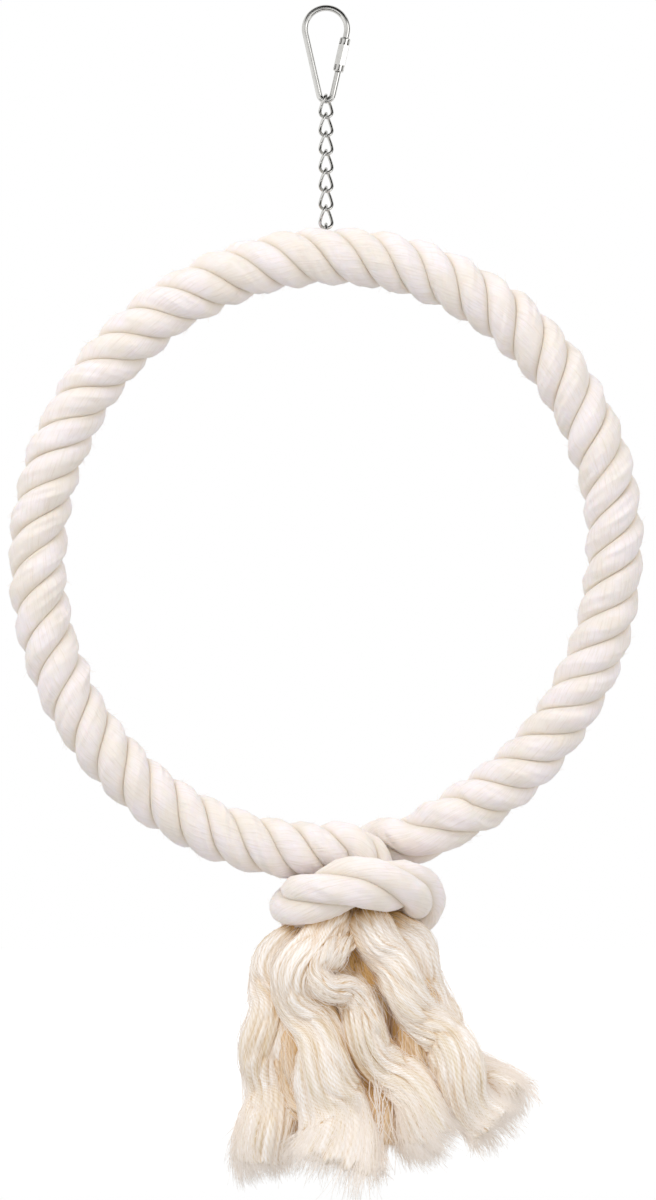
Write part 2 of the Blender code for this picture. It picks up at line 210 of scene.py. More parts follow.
leg_start = bend(top_centre, BOW_TOP_RADIUS, np.array([-lean]))[0][0]
leg_end = bend(low_centre, BOW_LOW_RADIUS, np.array([-lean]))[0][0]
leg_way = unit(leg_end - leg_start)
leg_out = np.array((math.cos(lean), 0.0, -math.sin(lean)))
leg_length = np.linalg.norm(leg_end - leg_start)
gate_top = SLEEVE_START + SLEEVE_GRIP
gate_low = gate_top + GATE_GAP
sleeve_end = SLEEVE_START + SLEEVE_LENGTH

# The rod's centre line from the lower end at the gate, round both bends, to the upper end. The
# thread is known by a row's distance down the right leg, which is -1 for a row that isn't on it.
thread_step = THREAD_PITCH / THREAD_ROWS
lower_leg = np.concatenate([np.arange(gate_low, sleeve_end, thread_step),
                            np.linspace(sleeve_end, leg_length, LOWER_LEG_ROWS)[:-1]])
upper_leg = np.concatenate([np.linspace(0.0, SLEEVE_START, UPPER_LEG_ROWS)[1:-1],
                            np.arange(SLEEVE_START, gate_top, thread_step)])
low_bend, low_out = bend(low_centre, BOW_LOW_RADIUS, np.linspace(-lean, lean - pi, LOW_BEND_ROWS))
top_bend, top_out = bend(top_centre, BOW_TOP_RADIUS, np.linspace(pi + lean, -lean, TOP_BEND_ROWS))
left_share = np.linspace(0.0, 1.0, LEFT_LEG_ROWS)[1:-1, None]
left_leg = low_bend[-1] * (1.0 - left_share) + top_bend[0] * left_share
left_out = np.broadcast_to(low_out[-1], left_leg.shape)
bow_line = np.vstack([leg_start + lower_leg[:, None] * leg_way, low_bend, left_leg, top_bend,
                      leg_start + upper_leg[:, None] * leg_way])
bow_out = np.vstack([np.broadcast_to(leg_out, (len(lower_leg), 3)), low_out, left_out, top_out,
                     np.broadcast_to(leg_out, (len(upper_leg), 3))])
off_leg = np.full(len(low_bend) + len(left_leg) + len(top_bend), -1.0)
along_leg = np.concatenate([lower_leg, off_leg, upper_leg])
threaded = ((along_leg > gate_low - ROUNDING) & (along_leg < sleeve_end)) | (
    (along_leg > SLEEVE_START) & (along_leg < gate_top + ROUNDING))
screw = 2.0 * pi * along_leg[:, None] / THREAD_PITCH + np.arange(BOW_SIDES) * 2.0 * pi / BOW_SIDES
bow_radius = BOW_WIRE / 2 - THREAD_DEPTH * threaded[:, None] * (0.5 + 0.5 * cos(screw))
bow = skin("quick_link_rod", rod(bow_line, bow_out, bow_radius, BOW_SIDES), nickel)
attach(bow, "quick_link")
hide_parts("quick_link_bow")

# Screw sleeve. A six-sided nut, 4.1 mm across its flats, turned to a taper and fluted at both
# ends, bored and nickel plated. It screws down the right leg to open the gate.
SLEEVE_FLATS = 0.00410
SLEEVE_TAPER = 0.00120
SLEEVE_MOUTH = 0.00170
SLEEVE_SHOULDER = 0.00255
SLEEVE_SHARPNESS = 24.0 / 0.001
SLEEVE_BORE = 0.00145
SLEEVE_WALL = 0.0001
SLEEVE_END = 0.0034
FLUTES = 8
FLUTE_START = 0.0004
FLUTE_LENGTH = 0.00270
FLUTE_FADE = 0.0003
FLUTE_DEPTH = 0.00042


def put_values(ob, name, values):
    """Stores one number or one vector for each point of a piece, for its material."""
    values = np.asarray(values, np.float32)
    kind, field = ("FLOAT", "value") if values.ndim == 1 else ("FLOAT_VECTOR", "vector")
    ob.data.attributes.new(name, kind, "POINT").data.foreach_set(field, values.ravel())


def sleeve_surface(sides=168, ends=30, flats=10):
    """Grid of the nut and its depth in a flute: a hexagon with softened corners and turned tapers.

    Rows run down the outside and back up the bore, columns round the leg. The reach at an angle
    is the smaller of the hexagon's and the taper's, joined by a soft minimum, less a band of
    round-bottomed flutes at each end.
    """
    end_rows = np.linspace(0.0, SLEEVE_END, ends)
    flat_rows = np.linspace(SLEEVE_END, SLEEVE_LENGTH - SLEEVE_END, flats)[1:-1]
    depth = np.concatenate([end_rows, flat_rows, SLEEVE_LENGTH - end_rows[::-1]])
    angle = np.arange(sides) * 2.0 * pi / sides
    off_flat = (angle + pi / 6.0) % (pi / 3.0) - pi / 6.0
    hexagon = SLEEVE_FLATS / 2 / cos(off_flat)
    from_end = np.minimum(depth, SLEEVE_LENGTH - depth)
    taper = np.sqrt(np.clip(from_end / SLEEVE_TAPER, 0.0, None))
    turned = SLEEVE_MOUTH + (SLEEVE_SHOULDER - SLEEVE_MOUTH) * taper
    outside = -np.log(np.exp(-SLEEVE_SHARPNESS * hexagon[None, :])
                      + np.exp(-SLEEVE_SHARPNESS * turned[:, None])) / SLEEVE_SHARPNESS
    band = (np.clip((from_end - FLUTE_START) / FLUTE_FADE, 0.0, 1.0)
            * np.clip((FLUTE_LENGTH - from_end) / FLUTE_FADE, 0.0, 1.0))
    flute = band[:, None] * (0.5 + 0.5 * cos(FLUTES * (angle - pi / 2.0))) ** 4
    outside = np.maximum(outside - FLUTE_DEPTH * flute, SLEEVE_BORE + SLEEVE_WALL)
    bore = np.full((2, sides), SLEEVE_BORE)
    reach = np.vstack([outside, bore])[..., None]
    level = np.concatenate([depth, [SLEEVE_LENGTH, 0.0]])[:, None, None]
    side = np.cross(leg_way, (0.0, 1.0, 0.0))
    front = np.array((0.0, -1.0, 0.0))
    around = cos(angle)[:, None] * side + sin(angle)[:, None] * front
    grid = leg_start + (SLEEVE_START + level) * leg_way + reach * around[None]
    return grid, np.vstack([flute, 0.0 * bore])


sleeve_grid, flute_depth = sleeve_surface()
sleeve = skin("screw_sleeve", sleeve_grid, nickel, closed=True)
# The flutes' depth is kept for the painted shade in them.
put_values(sleeve, "flute_shade", flute_depth.ravel())
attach(sleeve, "sleeve")
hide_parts("quick_link_sleeve")

# Twisted chain. Seven links of 1.3 mm wire, each bent to an oval with a butt joint in one leg,
# then turned a quarter so that its two ends stand square to each other.
LINK_COUNT = 7
LINK_WIRE = 0.00130
LINK_INNER_LENGTH = 0.00755
LINK_INNER_WIDTH = 0.00390
SEAT_GAP = 0.00030
LINK_JOINT = 0.00010
LINK_JOINT_DEPTH = 0.22
LINK_SIDES = 20
LINK_ROWS = 132
link_half = (LINK_INNER_LENGTH + LINK_WIRE) / 2
link_radius = (LINK_INNER_WIDTH + LINK_WIRE) / 2


def oval_line(half_length, radius, twist, top_turn, stations):
    """Centre line of a link with its upper end at zero height, and each point's way along it.

    An oval of two half circles and two straight legs, sampled evenly by length, whose plane
    turns about the vertical in step with the height.
    """
    straight = half_length - radius
    length = 2.0 * pi * radius + 4.0 * straight
    run = np.arange(stations) * length / stations
    first = pi * radius
    second = first + 2.0 * straight
    third = second + pi * radius
    bend_top = run / radius
    bend_low = pi + (run - second) / radius
    parts = [run < first, run < second, run < third]
    across = np.select(parts, [radius * cos(bend_top), -radius + 0.0 * run,
                               radius * cos(bend_low)], radius)
    up = np.select(parts, [straight + radius * sin(bend_top), straight - (run - first),
                           -straight + radius * sin(bend_low)], -straight + (run - third))
    turn = top_turn - twist * (half_length - up) / (2.0 * half_length)
    line = np.stack([across * cos(turn), across * sin(turn), up - half_length], axis=-1)
    return line, run


link_line, link_run = oval_line(link_half, link_radius, pi / 2, pi / 2, LINK_ROWS)
link_out = link_line + (0.0, 0.0, link_half)
joint_at = pi * link_radius + (link_half - link_radius)
butt = np.exp(-(((link_run - joint_at) / LINK_JOINT) ** 2))
link_wire = LINK_WIRE / 2 * (1.0 - LINK_JOINT_DEPTH * butt[:, None])
link_top = low_centre[2] - BOW_LOW_RADIUS + (BOW_WIRE + LINK_WIRE) / 2 + SEAT_GAP
for n in range(1, LINK_COUNT + 1):
    lift = (0.0, 0.0, link_top - (n - 1) * (LINK_INNER_LENGTH - SEAT_GAP))
    wire = rod(link_line + lift, link_out, link_wire, LINK_SIDES, closed=True)
    link = skin("twisted_link_%d" % n, wire, nickel, closed=True)
    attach(link, "link_%d" % n)
    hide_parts("chain_link_%d" % n)
ring_pivot_z = link_top - (LINK_COUNT - 1) * (LINK_INNER_LENGTH - SEAT_GAP) - 2.0 * link_half

# Core hoop and joining ring. A 2.5 mm mild steel wire hoop lies in the rope's heart and keeps
# the ring round. The joining ring, of chain wire, goes round it and up through the lay to the
# last link. The rope's ends are given in rope diameters from the neck, where the knot is.
ROPE_DIAMETER = 0.0230
RING_RADIUS = 0.1151
RING_OVAL = 0.0022
RING_OVAL_TURN = math.radians(18.0)
HOOP_WIRE = 0.0025
HOOP_SHORT = 0.30
HOOP_ROWS, HOOP_SIDES = 360, 16
LINK_SINK = 0.0005
NECK_TURN = math.radians(174.0)
LEFT_END = 0.30
RIGHT_END = 2.10
rope_radius = ROPE_DIAMETER / 2
ring_top_z = ring_pivot_z + LINK_SINK - rope_radius
ring_centre_z = ring_top_z - RING_RADIUS - RING_OVAL * math.cos(2.0 * RING_OVAL_TURN)


def ring_line(turn):
    """The ring's centre line, a circle with a slight oval; turn runs clockwise from the top."""
    turn = np.asarray(turn, float)
    reach = RING_RADIUS + RING_OVAL * cos(2.0 * (turn - RING_OVAL_TURN))
    return np.stack([reach * sin(turn), 0.0 * turn, ring_centre_z + reach * cos(turn)], axis=-1)


# Drawn mild steel with no plating: grey, dull, with a light bloom of rust in patches.
hoop_steel, shader, node = finish_named("drawn_mild_steel", metallic=1.0, roughness=0.45)
place = node("TexCoord").outputs["Object"]
bloom = node("TexNoise", {"Scale": 1 / 0.006, "Detail": 5.0}, {"Vector": place})
rusty = node("MapRange", {"From Min": 0.52, "From Max": 0.72}, {"Value": bloom})
grey = node("Mix", {6: linear("#A9A7A2"), 7: linear("#8C7460")}, {0: rusty}, data_type="RGBA")
dull = node("MapRange", {"To Min": 0.36, "To Max": 0.62}, {"Value": bloom})
feed(shader, {"Base Color": grey, "Roughness": dull})

first_turn = NECK_TURN - LEFT_END * ROPE_DIAMETER / RING_RADIUS - 2.0 * pi
last_turn = NECK_TURN - RIGHT_END * ROPE_DIAMETER / RING_RADIUS
hoop_end = last_turn - HOOP_SHORT * ROPE_DIAMETER / RING_RADIUS
hoop_line = ring_line(np.linspace(first_turn, hoop_end, HOOP_ROWS))
hoop_out = hoop_line - (0.0, 0.0, ring_centre_z)
hoop = skin("heart_hoop", rod(hoop_line, hoop_out, HOOP_WIRE / 2, HOOP_SIDES), hoop_steel)
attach(hoop, "ring")
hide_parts("core_hoop")
joining_top = ring_pivot_z + LINK_WIRE + SEAT_GAP
joining_low = ring_top_z - (HOOP_WIRE + LINK_WIRE) / 2 - SEAT_GAP
joining_half = (joining_top - joining_low) / 2
joining_line = oval_line(joining_half, link_radius, 0.0, pi / 2, LINK_ROWS)[0]
joining_out = joining_line + (0.0, 0.0, joining_half)
joining_wire = rod(joining_line + (0.0, 0.0, joining_top), joining_out, LINK_WIRE / 2, LINK_SIDES,
                   closed=True)
joining = skin("joining_ring_wire", joining_wire, nickel, closed=True)
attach(joining, "ring")
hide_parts("joining_ring")

# Rope. Three cotton strands laid hard and right-handed round the hoop: once round the ring from
# the left end to the right end, then one turn as a knot that binds both ends. Each strand is a
# bundle of soft yarns, so it is flattened against its neighbours and keeps a rounded outside.
# Routes are in rope diameters from the neck, a strand's shape in shares of the rope's radius.
LAY_LENGTH = 0.0410
CHAIN_GROOVE_TURN = math.radians(1.2)
KNOT_LAY_LENGTH = 0.0750
KNOT_SQUEEZE = 0.91
KNOT_EASE = 1.3
LEFT_END_THINS = 0.20
RIGHT_END_THINS, RIGHT_THIN_LENGTH = 0.32, 0.9
OFF_MIDDLE, KNOT_OFF_MIDDLE = 0.31, 0.07
BUNCHING = 0.86
GROOVE_START, GROOVE_SPAN, GROOVE_TURN_IN = 0.84, 0.16, 0.040
GROOVE_SHADE_START, GROOVE_SHADE_SPAN = 0.45, 0.55
YARN_WIDTH = 0.0017
YARN_RIDGE = 0.00010
HEART_CLEAR = 0.00055
# Uneven laying: each is an amount and a length along the rope.
SWELLS = ((0.014, 0.061), (0.010, 0.037), (0.008, 0.019))
SKEW = (0.05, 0.083)
YARN_WANDER = (0.9, 0.029)
GROOVE_DRIFTS = ((0.035, 0.067), (0.030, 0.043))
GROOVE_PHASES = (1.7, 2.3 * 1.7)
# Lumps: a height, the size of a random table along and round a strand, and its slant in radians.
LUMPS = ((0.0008, (150, 6), 0.0), (0.0003, (380, 13), 400.0))
ANY_PHASE = (0.0, 6.28)
STRAND_SEED = 70
LEFT_ROWS, RING_ROWS, KNOT_ROWS = 40, 1400, 60
GUIDE_STEP = 0.4
LEFT_GUIDES = (1.2, 2.2, 3.2)
KNOT_GUIDES = (-1.0, 0.0, 1.0)
KNOT_ROUTE = (
    (1.17, 0.22, 0.24), (0.76, 0.56, 0.13), (0.28, 0.94, -0.05),
    (-0.32, 1.06, -0.62), (-0.82, 0.74, -0.96), (-1.05, 0.00, -1.00),
    (-0.80, -0.73, -0.80), (0.00, -1.04, -0.56), (0.76, -0.72, -0.63),
    (1.06, 0.00, -0.80), (1.02, 0.34, -0.99), (0.80, 0.58, -1.24),
    (0.50, 0.48, -1.62),
)
LEFT_BEND = (
    (0.16, 0.06, -0.95), (0.20, 0.03, -0.58), (0.12, 0.00, -0.20),
)


def smooth_route(points, per_span):
    """A smooth curve through chosen points: each span is the cubic whose slope at a point is half
    the step between that point's two neighbours."""
    p = np.asarray(points, float)
    p = np.vstack([2.0 * p[0] - p[1], p, 2.0 * p[-1] - p[-2]])
    a, b, c, d = (p[i : len(p) - 3 + i, None] for i in range(4))
    u = np.linspace(0.0, 1.0, per_span, endpoint=False)[None, :, None]
    spans = (b + 0.5 * u * (c - a) + u**2 * (a - 2.5 * b + 2.0 * c - 0.5 * d)
             + 0.5 * u**3 * (3.0 * b - 3.0 * c + d - a))
    return np.vstack([spans.reshape(-1, p.shape[1]), p[-2][None]])


def rise(x):
    """Goes smoothly from 0 to 1 as x does."""
    x = np.clip(x, 0.0, 1.0)
    return x * x * (3.0 - 2.0 * x)


def carry(route, start):
    """A direction across a route, carried along it without turning about it."""
    ahead = unit(np.gradient(route, axis=0))
    kept = [unit(start - ahead[0] * np.dot(start, ahead[0]))]
    for way in ahead[1:]:
        kept.append(unit(kept[-1] - way * np.dot(kept[-1], way)))
    return ahead, np.array(kept)


def run_along(points):
    """Distance of each point of a line from its first."""
    return np.concatenate([[0.0], np.cumsum(np.linalg.norm(np.diff(points, axis=0), axis=1))])


def read_along(at, run, *tracks):
    """Places or directions that go with a run, read at other distances along it."""
    return [np.stack([np.interp(at, run, track[:, i]) for i in range(3)], axis=-1)
            for track in tracks]


neck = ring_line(NECK_TURN)
lead = GUIDE_STEP * ROPE_DIAMETER / RING_RADIUS
knot_points = np.vstack([ring_line(last_turn + lead * np.array(KNOT_GUIDES)),
                         neck + ROPE_DIAMETER * np.array(KNOT_ROUTE)])
left_points = np.vstack([neck + ROPE_DIAMETER * np.array(LEFT_BEND),
                         ring_line(first_turn + lead * np.array(LEFT_GUIDES))])
left_route = smooth_route(left_points, LEFT_ROWS)[: -2 * LEFT_ROWS]
ring_start = first_turn + LEFT_GUIDES[1] * lead
ring_route = ring_line(np.linspace(ring_start, last_turn, RING_ROWS))
knot_route = smooth_route(knot_points, KNOT_ROWS)[KNOT_ROWS + 1 :]
route = np.vstack([left_route, ring_route[1:], knot_route])
run = run_along(route)
ring_run = run[len(left_route) + len(ring_route) - 2]
groove_at = np.argmin(np.linalg.norm(route - ring_line(CHAIN_GROOVE_TURN), axis=1))
ahead, outward = carry(route[len(left_route) :], ring_line(ring_start) - (0.0, 0.0, ring_centre_z))
before, carried_back = carry(route[: len(left_route) + 1][::-1], outward[0])
ahead = np.vstack([-before[:0:-1], ahead])
outward = np.vstack([carried_back[:0:-1], outward])
forward = np.cross(ahead, outward)
in_knot = rise((run - ring_run) / (KNOT_EASE * ROPE_DIAMETER))
lay_here = LAY_LENGTH + (KNOT_LAY_LENGTH - LAY_LENGTH) * in_knot
twist = np.concatenate([[0.0], np.cumsum(np.diff(run) * 2.0 * pi / lay_here[1:])])
twist += pi / 3.0 - twist[groove_at]
left_thins = LEFT_END_THINS * rise(1.0 - run / run[len(left_route)])
thick = 1.0 + (KNOT_SQUEEZE - 1.0) * in_knot - left_thins
thin_length = RIGHT_THIN_LENGTH * ROPE_DIAMETER
thick -= RIGHT_END_THINS * rise((run - run[-1] + thin_length) / thin_length)


def streaks(table, around, along):
    """Smooth noise from 0 to 1 that closes round a strand: a table of random values, along by
    around, read at an angle and a share of the length and joined by smooth steps."""
    count = table.shape[1]
    u = around / (2.0 * pi) * count
    v = np.clip(along, 0.0, 1.0) * (len(table) - 2)
    i, j = np.floor(u).astype(int), np.floor(v).astype(int)
    side, down = rise(u - i), rise(v - j)
    upper = table[j, i % count] * (1.0 - side) + table[j, (i + 1) % count] * side
    lower = table[j + 1, i % count] * (1.0 - side) + table[j + 1, (i + 1) % count] * side
    return upper * (1.0 - down) + lower * down


def ripple(at, amount, length, phase):
    """A sine along the rope: amount sin(2 pi at / length + phase)."""
    return amount * sin(2.0 * pi * at / length + phase)


def groove_drift(at, number):
    """How far the groove after a strand strays from an even lay, as an angle: two ripples."""
    return sum(ripple(at, *drift, phase * (number % 3))
               for drift, phase in zip(GROOVE_DRIFTS, GROOVE_PHASES))[:, None]


def strand_surface(number, rows=1440, front=54, wall=4):
    """Grid of one strand, and for each point its place in the lay and its painted groove shade.

    A point is centre + reach (cos a outward + sin a forward). The angle a turns with the lay and
    spans a third of the rope. The outside is a round of about two thirds of the rope's radius,
    set off the middle so that its crest is on the rope's outside. At the grooves it turns in to
    flat walls that lean on the next strand. Yarns stand out as low ridges along the rope.
    """
    rng = np.random.default_rng(STRAND_SEED + number)
    at = np.linspace(0.0, run[-1], rows)
    centre, out, facing = read_along(at, run, route, outward, forward)
    phase = np.interp(at, run, twist) + number * 2.0 * pi / 3.0
    size = np.interp(at, run, thick)[:, None]
    loose = np.interp(at, run, in_knot)[:, None]
    bunched = sin(np.linspace(-1.0, 1.0, front) * pi / 2.0 * BUNCHING)
    share = bunched / math.sin(pi / 2.0 * BUNCHING)
    edge = np.clip((np.abs(share) - GROOVE_START) / GROOVE_SPAN, 0.0, 1.0)
    swell = sum(ripple(at, *each, rng.uniform(*ANY_PHASE)) for each in SWELLS)[:, None]
    skew = ripple(at, *SKEW, rng.uniform(*ANY_PHASE))[:, None]
    off = OFF_MIDDLE + KNOT_OFF_MIDDLE * loose
    leaning = (share + skew * (1.0 - share**2)) * pi / 3.0
    from_off = np.sqrt((1.0 - off) ** 2 - (off * sin(leaning)) ** 2)
    shape = off * cos(leaning) + from_off - GROOVE_TURN_IN * edge**2
    low, high = groove_drift(at, number - 1), groove_drift(at, number)
    drift = 0.5 * (low * (1.0 - share) + high * (1.0 + share))
    angle = phase[:, None] + share * pi / 3.0 + drift
    yarn = 2.0 * pi * rope_radius / YARN_WIDTH
    wander = ripple(at, *YARN_WANDER, rng.uniform(*ANY_PHASE))[:, None] * sin(3.0 * share)
    ridge = cos(yarn * angle + wander) * (1.0 - edge)
    down, around = (at / run[-1])[:, None], pi * (1.0 + share)
    lumps = sum(height * (streaks(rng.random(table), around + slant * down, down) - 0.5)
                for height, table, slant in LUMPS)
    reach = (rope_radius * size * (shape * (1.0 + swell * (1.0 - share**2)))
             + YARN_RIDGE * ridge + lumps * (1.0 - edge))
    heart = (HOOP_WIRE / 2 + HEART_CLEAR) / math.cos(pi / 3.0)
    inward = np.linspace(1.0, 0.0, wall + 1)[1:]
    right = heart + (reach[:, -1:] - heart) * inward
    left = heart + (reach[:, :1] - heart) * inward[::-1]
    reach = np.hstack([reach, right, left])
    angle = np.hstack([angle, np.repeat(angle[:, -1:], wall, axis=1),
                       np.repeat(angle[:, :1], wall, axis=1)])
    grid = (centre[:, None] + (reach * cos(angle))[..., None] * out[:, None]
            + (reach * sin(angle))[..., None] * facing[:, None])
    # Painted shade: the grooves and the walls in them take a warmer, darker colour.
    groove_shade = np.clip((np.abs(share) - GROOVE_SHADE_START) / GROOVE_SHADE_SPAN, 0.0, 1.0)
    groove_shade = np.broadcast_to(np.concatenate([groove_shade, np.ones(2 * wall)]), angle.shape)
    lay = np.stack([np.broadcast_to(at[:, None], angle.shape), angle * rope_radius], axis=-1)
    return grid, lay, groove_shade


def put_lay(ob, name, pairs):
    """Stores a pair of lengths in metres for each point of a piece as a UV map."""
    corner = np.empty(len(ob.data.loops), np.int32)
    ob.data.loops.foreach_get("vertex_index", corner)
    layer = ob.data.uv_layers.new(name=name)
    layer.data.foreach_set("uv", np.asarray(pairs, np.float32)[corner].ravel())


# Undyed, unbleached cotton: soft, matt and off-white, with a fine nap and darker streaks along the
# yarns. Painted shade makes the grooves between strands warmer and darker.
cotton, shader, node = finish_named(
    "laid_cotton_rope", roughness=0.92, sheen_weight=0.15, sheen_roughness=0.45,
    specular_ior_level=0.25, subsurface_weight=0.30, subsurface_scale=0.0025,
    subsurface_radius=(1.0, 0.75, 0.50))
lay_map = node("UVMap", uv_map="lay")
grain = []
for length, width, detail, rough in ((0.0120, 0.0007, 4.0, 0.6), (0.0300, 0.0019, 2.0, 0.5)):
    drawn_out = node("Mapping", {"Scale": (1 / length, 1 / width, 1.0)}, {"Vector": lay_map})
    grain.append(node("TexNoise", {"Scale": 1.0, "Detail": detail, "Roughness": rough},
                      {"Vector": drawn_out}))
fibres, yarns = grain
patches = node("TexNoise", {"Scale": 1 / 0.014, "Detail": 2.0},
               {"Vector": node("TexCoord").outputs["Object"]})
patch = node("MapRange", {"From Min": 0.38, "From Max": 0.62}, {"Value": patches})
ground = node("Mix", {6: linear("#F8EFEF"), 7: linear("#F3EAE2")}, {0: patch},
              data_type="RGBA")
streak = node("MapRange", {"From Min": 0.50, "From Max": 0.76, "To Max": 0.75}, {"Value": fibres})
streaked = node("Mix", {7: linear("#E4D8CC")}, {0: streak, 6: ground}, data_type="RGBA")
# Painted shade in the grooves, by how near a point is to one.
groove = node("Attribute", attribute_name="groove_shade").outputs["Fac"]
groove_shade_amount = node("Math", {1: 2.2}, {0: groove}, operation="POWER")
groove_shaded = node("Mix", {7: linear("#E5D9CA")}, {0: groove_shade_amount, 6: streaked}, data_type="RGBA")
height = node("Mix", {0: 0.5}, {2: fibres, 3: yarns})
nap = node("Bump", {"Strength": 0.80, "Distance": 0.0009}, {"Height": height})
feed(shader, {"Base Color": groove_shaded, "Normal": nap})


def hairs(name, path, radius, across, material):
    """Many thin three-sided rods from an array of paths: hair, step, place.

    Each ends in one triangle. They are too fine to cast a shadow that shows.
    """
    count, steps = path.shape[:2]
    points = rod(path, across, radius[..., None], 3).reshape(-1, 3)
    base = np.arange(count)[:, None] * steps * 3
    caps = np.vstack([base + (2, 1, 0), base + (steps - 1) * 3 + (0, 1, 2)])
    made = put_mesh(name, points, tube_quads(count, steps, 3), caps, material)
    made.visible_shadow = made.visible_diffuse = False
    return made


# Loose cotton fibre: single fibres and thin tufts, whiter than the yarns, each of its own tone.
fibre_cotton, shader, node = finish_named("loose_cotton_fibre", roughness=0.85, sheen_weight=0.15,
                                          sheen_roughness=0.45, specular_ior_level=0.20)
patches = node("TexNoise", {"Scale": 1 / 0.004, "Detail": 2.0},
               {"Vector": node("TexCoord").outputs["Object"]})
tone = node("Attribute", attribute_name="tone").outputs["Fac"]
tone_patch = node("Mix", {0: 0.35}, {2: tone, 3: patches})
ivory = node("Mix", {6: linear("#EAD9C4"), 7: linear("#FFF6F0")}, {0: tone_patch}, data_type="RGBA")
# Painted shade: fibres deep in the tassel are warmed towards tan.
tassel_shade = node("Attribute", attribute_name="tassel_shade").outputs["Fac"]
tassel_shaded = node("Mix", {7: linear("#D9AC72")}, {0: tassel_shade, 6: ivory}, data_type="RGBA")
feed(shader, {"Base Color": tassel_shaded})

NAP_SEED, NAP_HAIRS, NAP_STEPS = 80, 1100, 5
NAP_RADIUS, NAP_TAPER = 0.00006, 0.6
NAP_CLEAR = 0.010
NAP_LENGTHS = (0.0012, 0.0038)
NAP_LIFTS, NAP_LIFT_POWER = (0.0001, 0.0011), 1.5
NAP_DRIFT = 0.0007
NAP_TONES = (0.4, 1.0)
NAP_FIRST_ROW, NAP_END_ROWS, NAP_ONWARD_ROWS = 12, 24, 8
NAP_COLUMNS = (4, 50)

for number in range(3):
    grid, lay, groove_shade = strand_surface(number)
    strand = skin("rope_strand_%d" % (number + 1), grid, cotton)
    put_lay(strand, "lay", np.vstack([lay.reshape(-1, 2), lay[[0, -1]].mean(axis=1)]))
    put_values(strand, "groove_shade", np.concatenate([groove_shade.ravel(), [1.0, 1.0]]))
    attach(strand, "ring")
    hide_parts("ring_strand_%d" % (number + 1), "knot_strand_%d" % (number + 1))

    # Nap: short hairs that lie along the strand's outside and lift at their tips. The chain has
    # worn them off round its last link.
    rng = np.random.default_rng(NAP_SEED + number)
    row = rng.integers(NAP_FIRST_ROW, len(grid) - NAP_END_ROWS, NAP_HAIRS)
    column = rng.integers(*NAP_COLUMNS, NAP_HAIRS)
    root = grid[row, column]
    onward = unit(grid[row + NAP_ONWARD_ROWS, column] - root)
    away = square_to(onward, root - read_along(lay[row, 0, 0], run, route)[0])
    sideways = np.cross(onward, away)
    step = np.linspace(0.0, 1.0, NAP_STEPS)[None, :, None]
    reach = rng.uniform(*NAP_LENGTHS, NAP_HAIRS) * rng.choice((-1.0, 1.0), NAP_HAIRS)
    lift = rng.uniform(*NAP_LIFTS, NAP_HAIRS)
    drift = rng.normal(0.0, NAP_DRIFT, NAP_HAIRS)
    reach, lift, drift = (amount[:, None, None] for amount in (reach, lift, drift))
    path = (root[:, None] + reach * step * onward[:, None]
            + lift * step**NAP_LIFT_POWER * away[:, None] + drift * step * sideways[:, None])
    thin = np.broadcast_to(NAP_RADIUS * (1.0 - NAP_TAPER * step[..., 0]), path.shape[:2])
    kept = np.linalg.norm(root - (0.0, 0.0, ring_pivot_z), axis=1) > NAP_CLEAR
    across = np.broadcast_to(away[:, None], path.shape)
    nap = hairs("rope_strand_%d_nap" % (number + 1), path[kept], thin[kept], across[kept],
                fibre_cotton)
    put_values(nap, "tone", np.repeat(rng.uniform(*NAP_TONES, NAP_HAIRS)[kept], NAP_STEPS * 3))
    put_values(nap, "tassel_shade", np.zeros(kept.sum() * NAP_STEPS * 3))
    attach(nap, "ring")

# Tails. Below the knot both rope ends are unlaid into their strands. Each is a lock of soft
# yarns that keeps the wave of the lay, and its cut end is teased out to loose fibres. A route
# starts with its angle round the neck; then come x, y, z and radius, all in rope diameters.
LOCK_SEED = 300
NECK_REACH = 0.370
NECK_RADIUS = 0.170
NECK_TOP = -0.62
NECK_LOW = -1.05
TAIL_ROUTES = {
    "left_tail_lock_1": (
        pi,
        (-0.72, -0.10, -1.50, 0.36), (-1.30, -0.08, -2.10, 0.48), (-1.40, -0.05, -2.90, 0.50),
        (-1.44, -0.02, -4.10, 0.60), (-1.48, 0.02, -5.50, 0.56),
    ),
    "left_tail_lock_2": (
        pi * 4.0 / 3.0,
        (-0.50, -0.58, -1.45, 0.40), (-0.92, -0.78, -2.05, 0.46), (-0.86, -0.78, -2.75, 0.44),
        (-0.64, -0.75, -3.35, 0.45), (-0.44, -0.72, -4.15, 0.60), (-0.33, -0.70, -5.55, 0.74),
    ),
    "left_tail_lock_3": (
        pi * 2.0 / 3.0,
        (-0.21, 0.10, -1.50, 0.32), (-0.30, -0.45, -2.10, 0.36), (-0.12, -0.64, -2.62, 0.38),
        (0.20, -0.70, -3.20, 0.38), (0.64, -0.66, -3.80, 0.42), (1.08, -0.60, -4.42, 0.48),
        (1.42, -0.58, -5.02, 0.50),
    ),
    "right_tail_lock_1": (
        pi * 5.0 / 3.0,
        (0.28, -0.60, -1.42, 0.42), (0.62, -0.74, -2.10, 0.42), (1.22, -0.74, -2.90, 0.39),
        (1.60, -0.72, -3.55, 0.42), (2.06, -0.66, -4.35, 0.46), (2.40, -0.62, -4.92, 0.46),
    ),
    "right_tail_lock_2": (
        0.0,
        (0.70, -0.20, -1.42, 0.40), (1.05, -0.10, -2.00, 0.44), (1.20, -0.02, -2.80, 0.42),
        (1.52, 0.02, -3.40, 0.42), (2.15, 0.06, -3.95, 0.46), (2.60, 0.08, -4.55, 0.46),
    ),
    "right_tail_lock_3": (
        pi / 3.0,
        (0.40, 0.42, -1.50, 0.36), (0.45, 0.55, -2.30, 0.48), (0.45, 0.56, -3.20, 0.56),
        (0.58, 0.50, -4.20, 0.62), (0.70, 0.46, -5.25, 0.62),
    ),
}
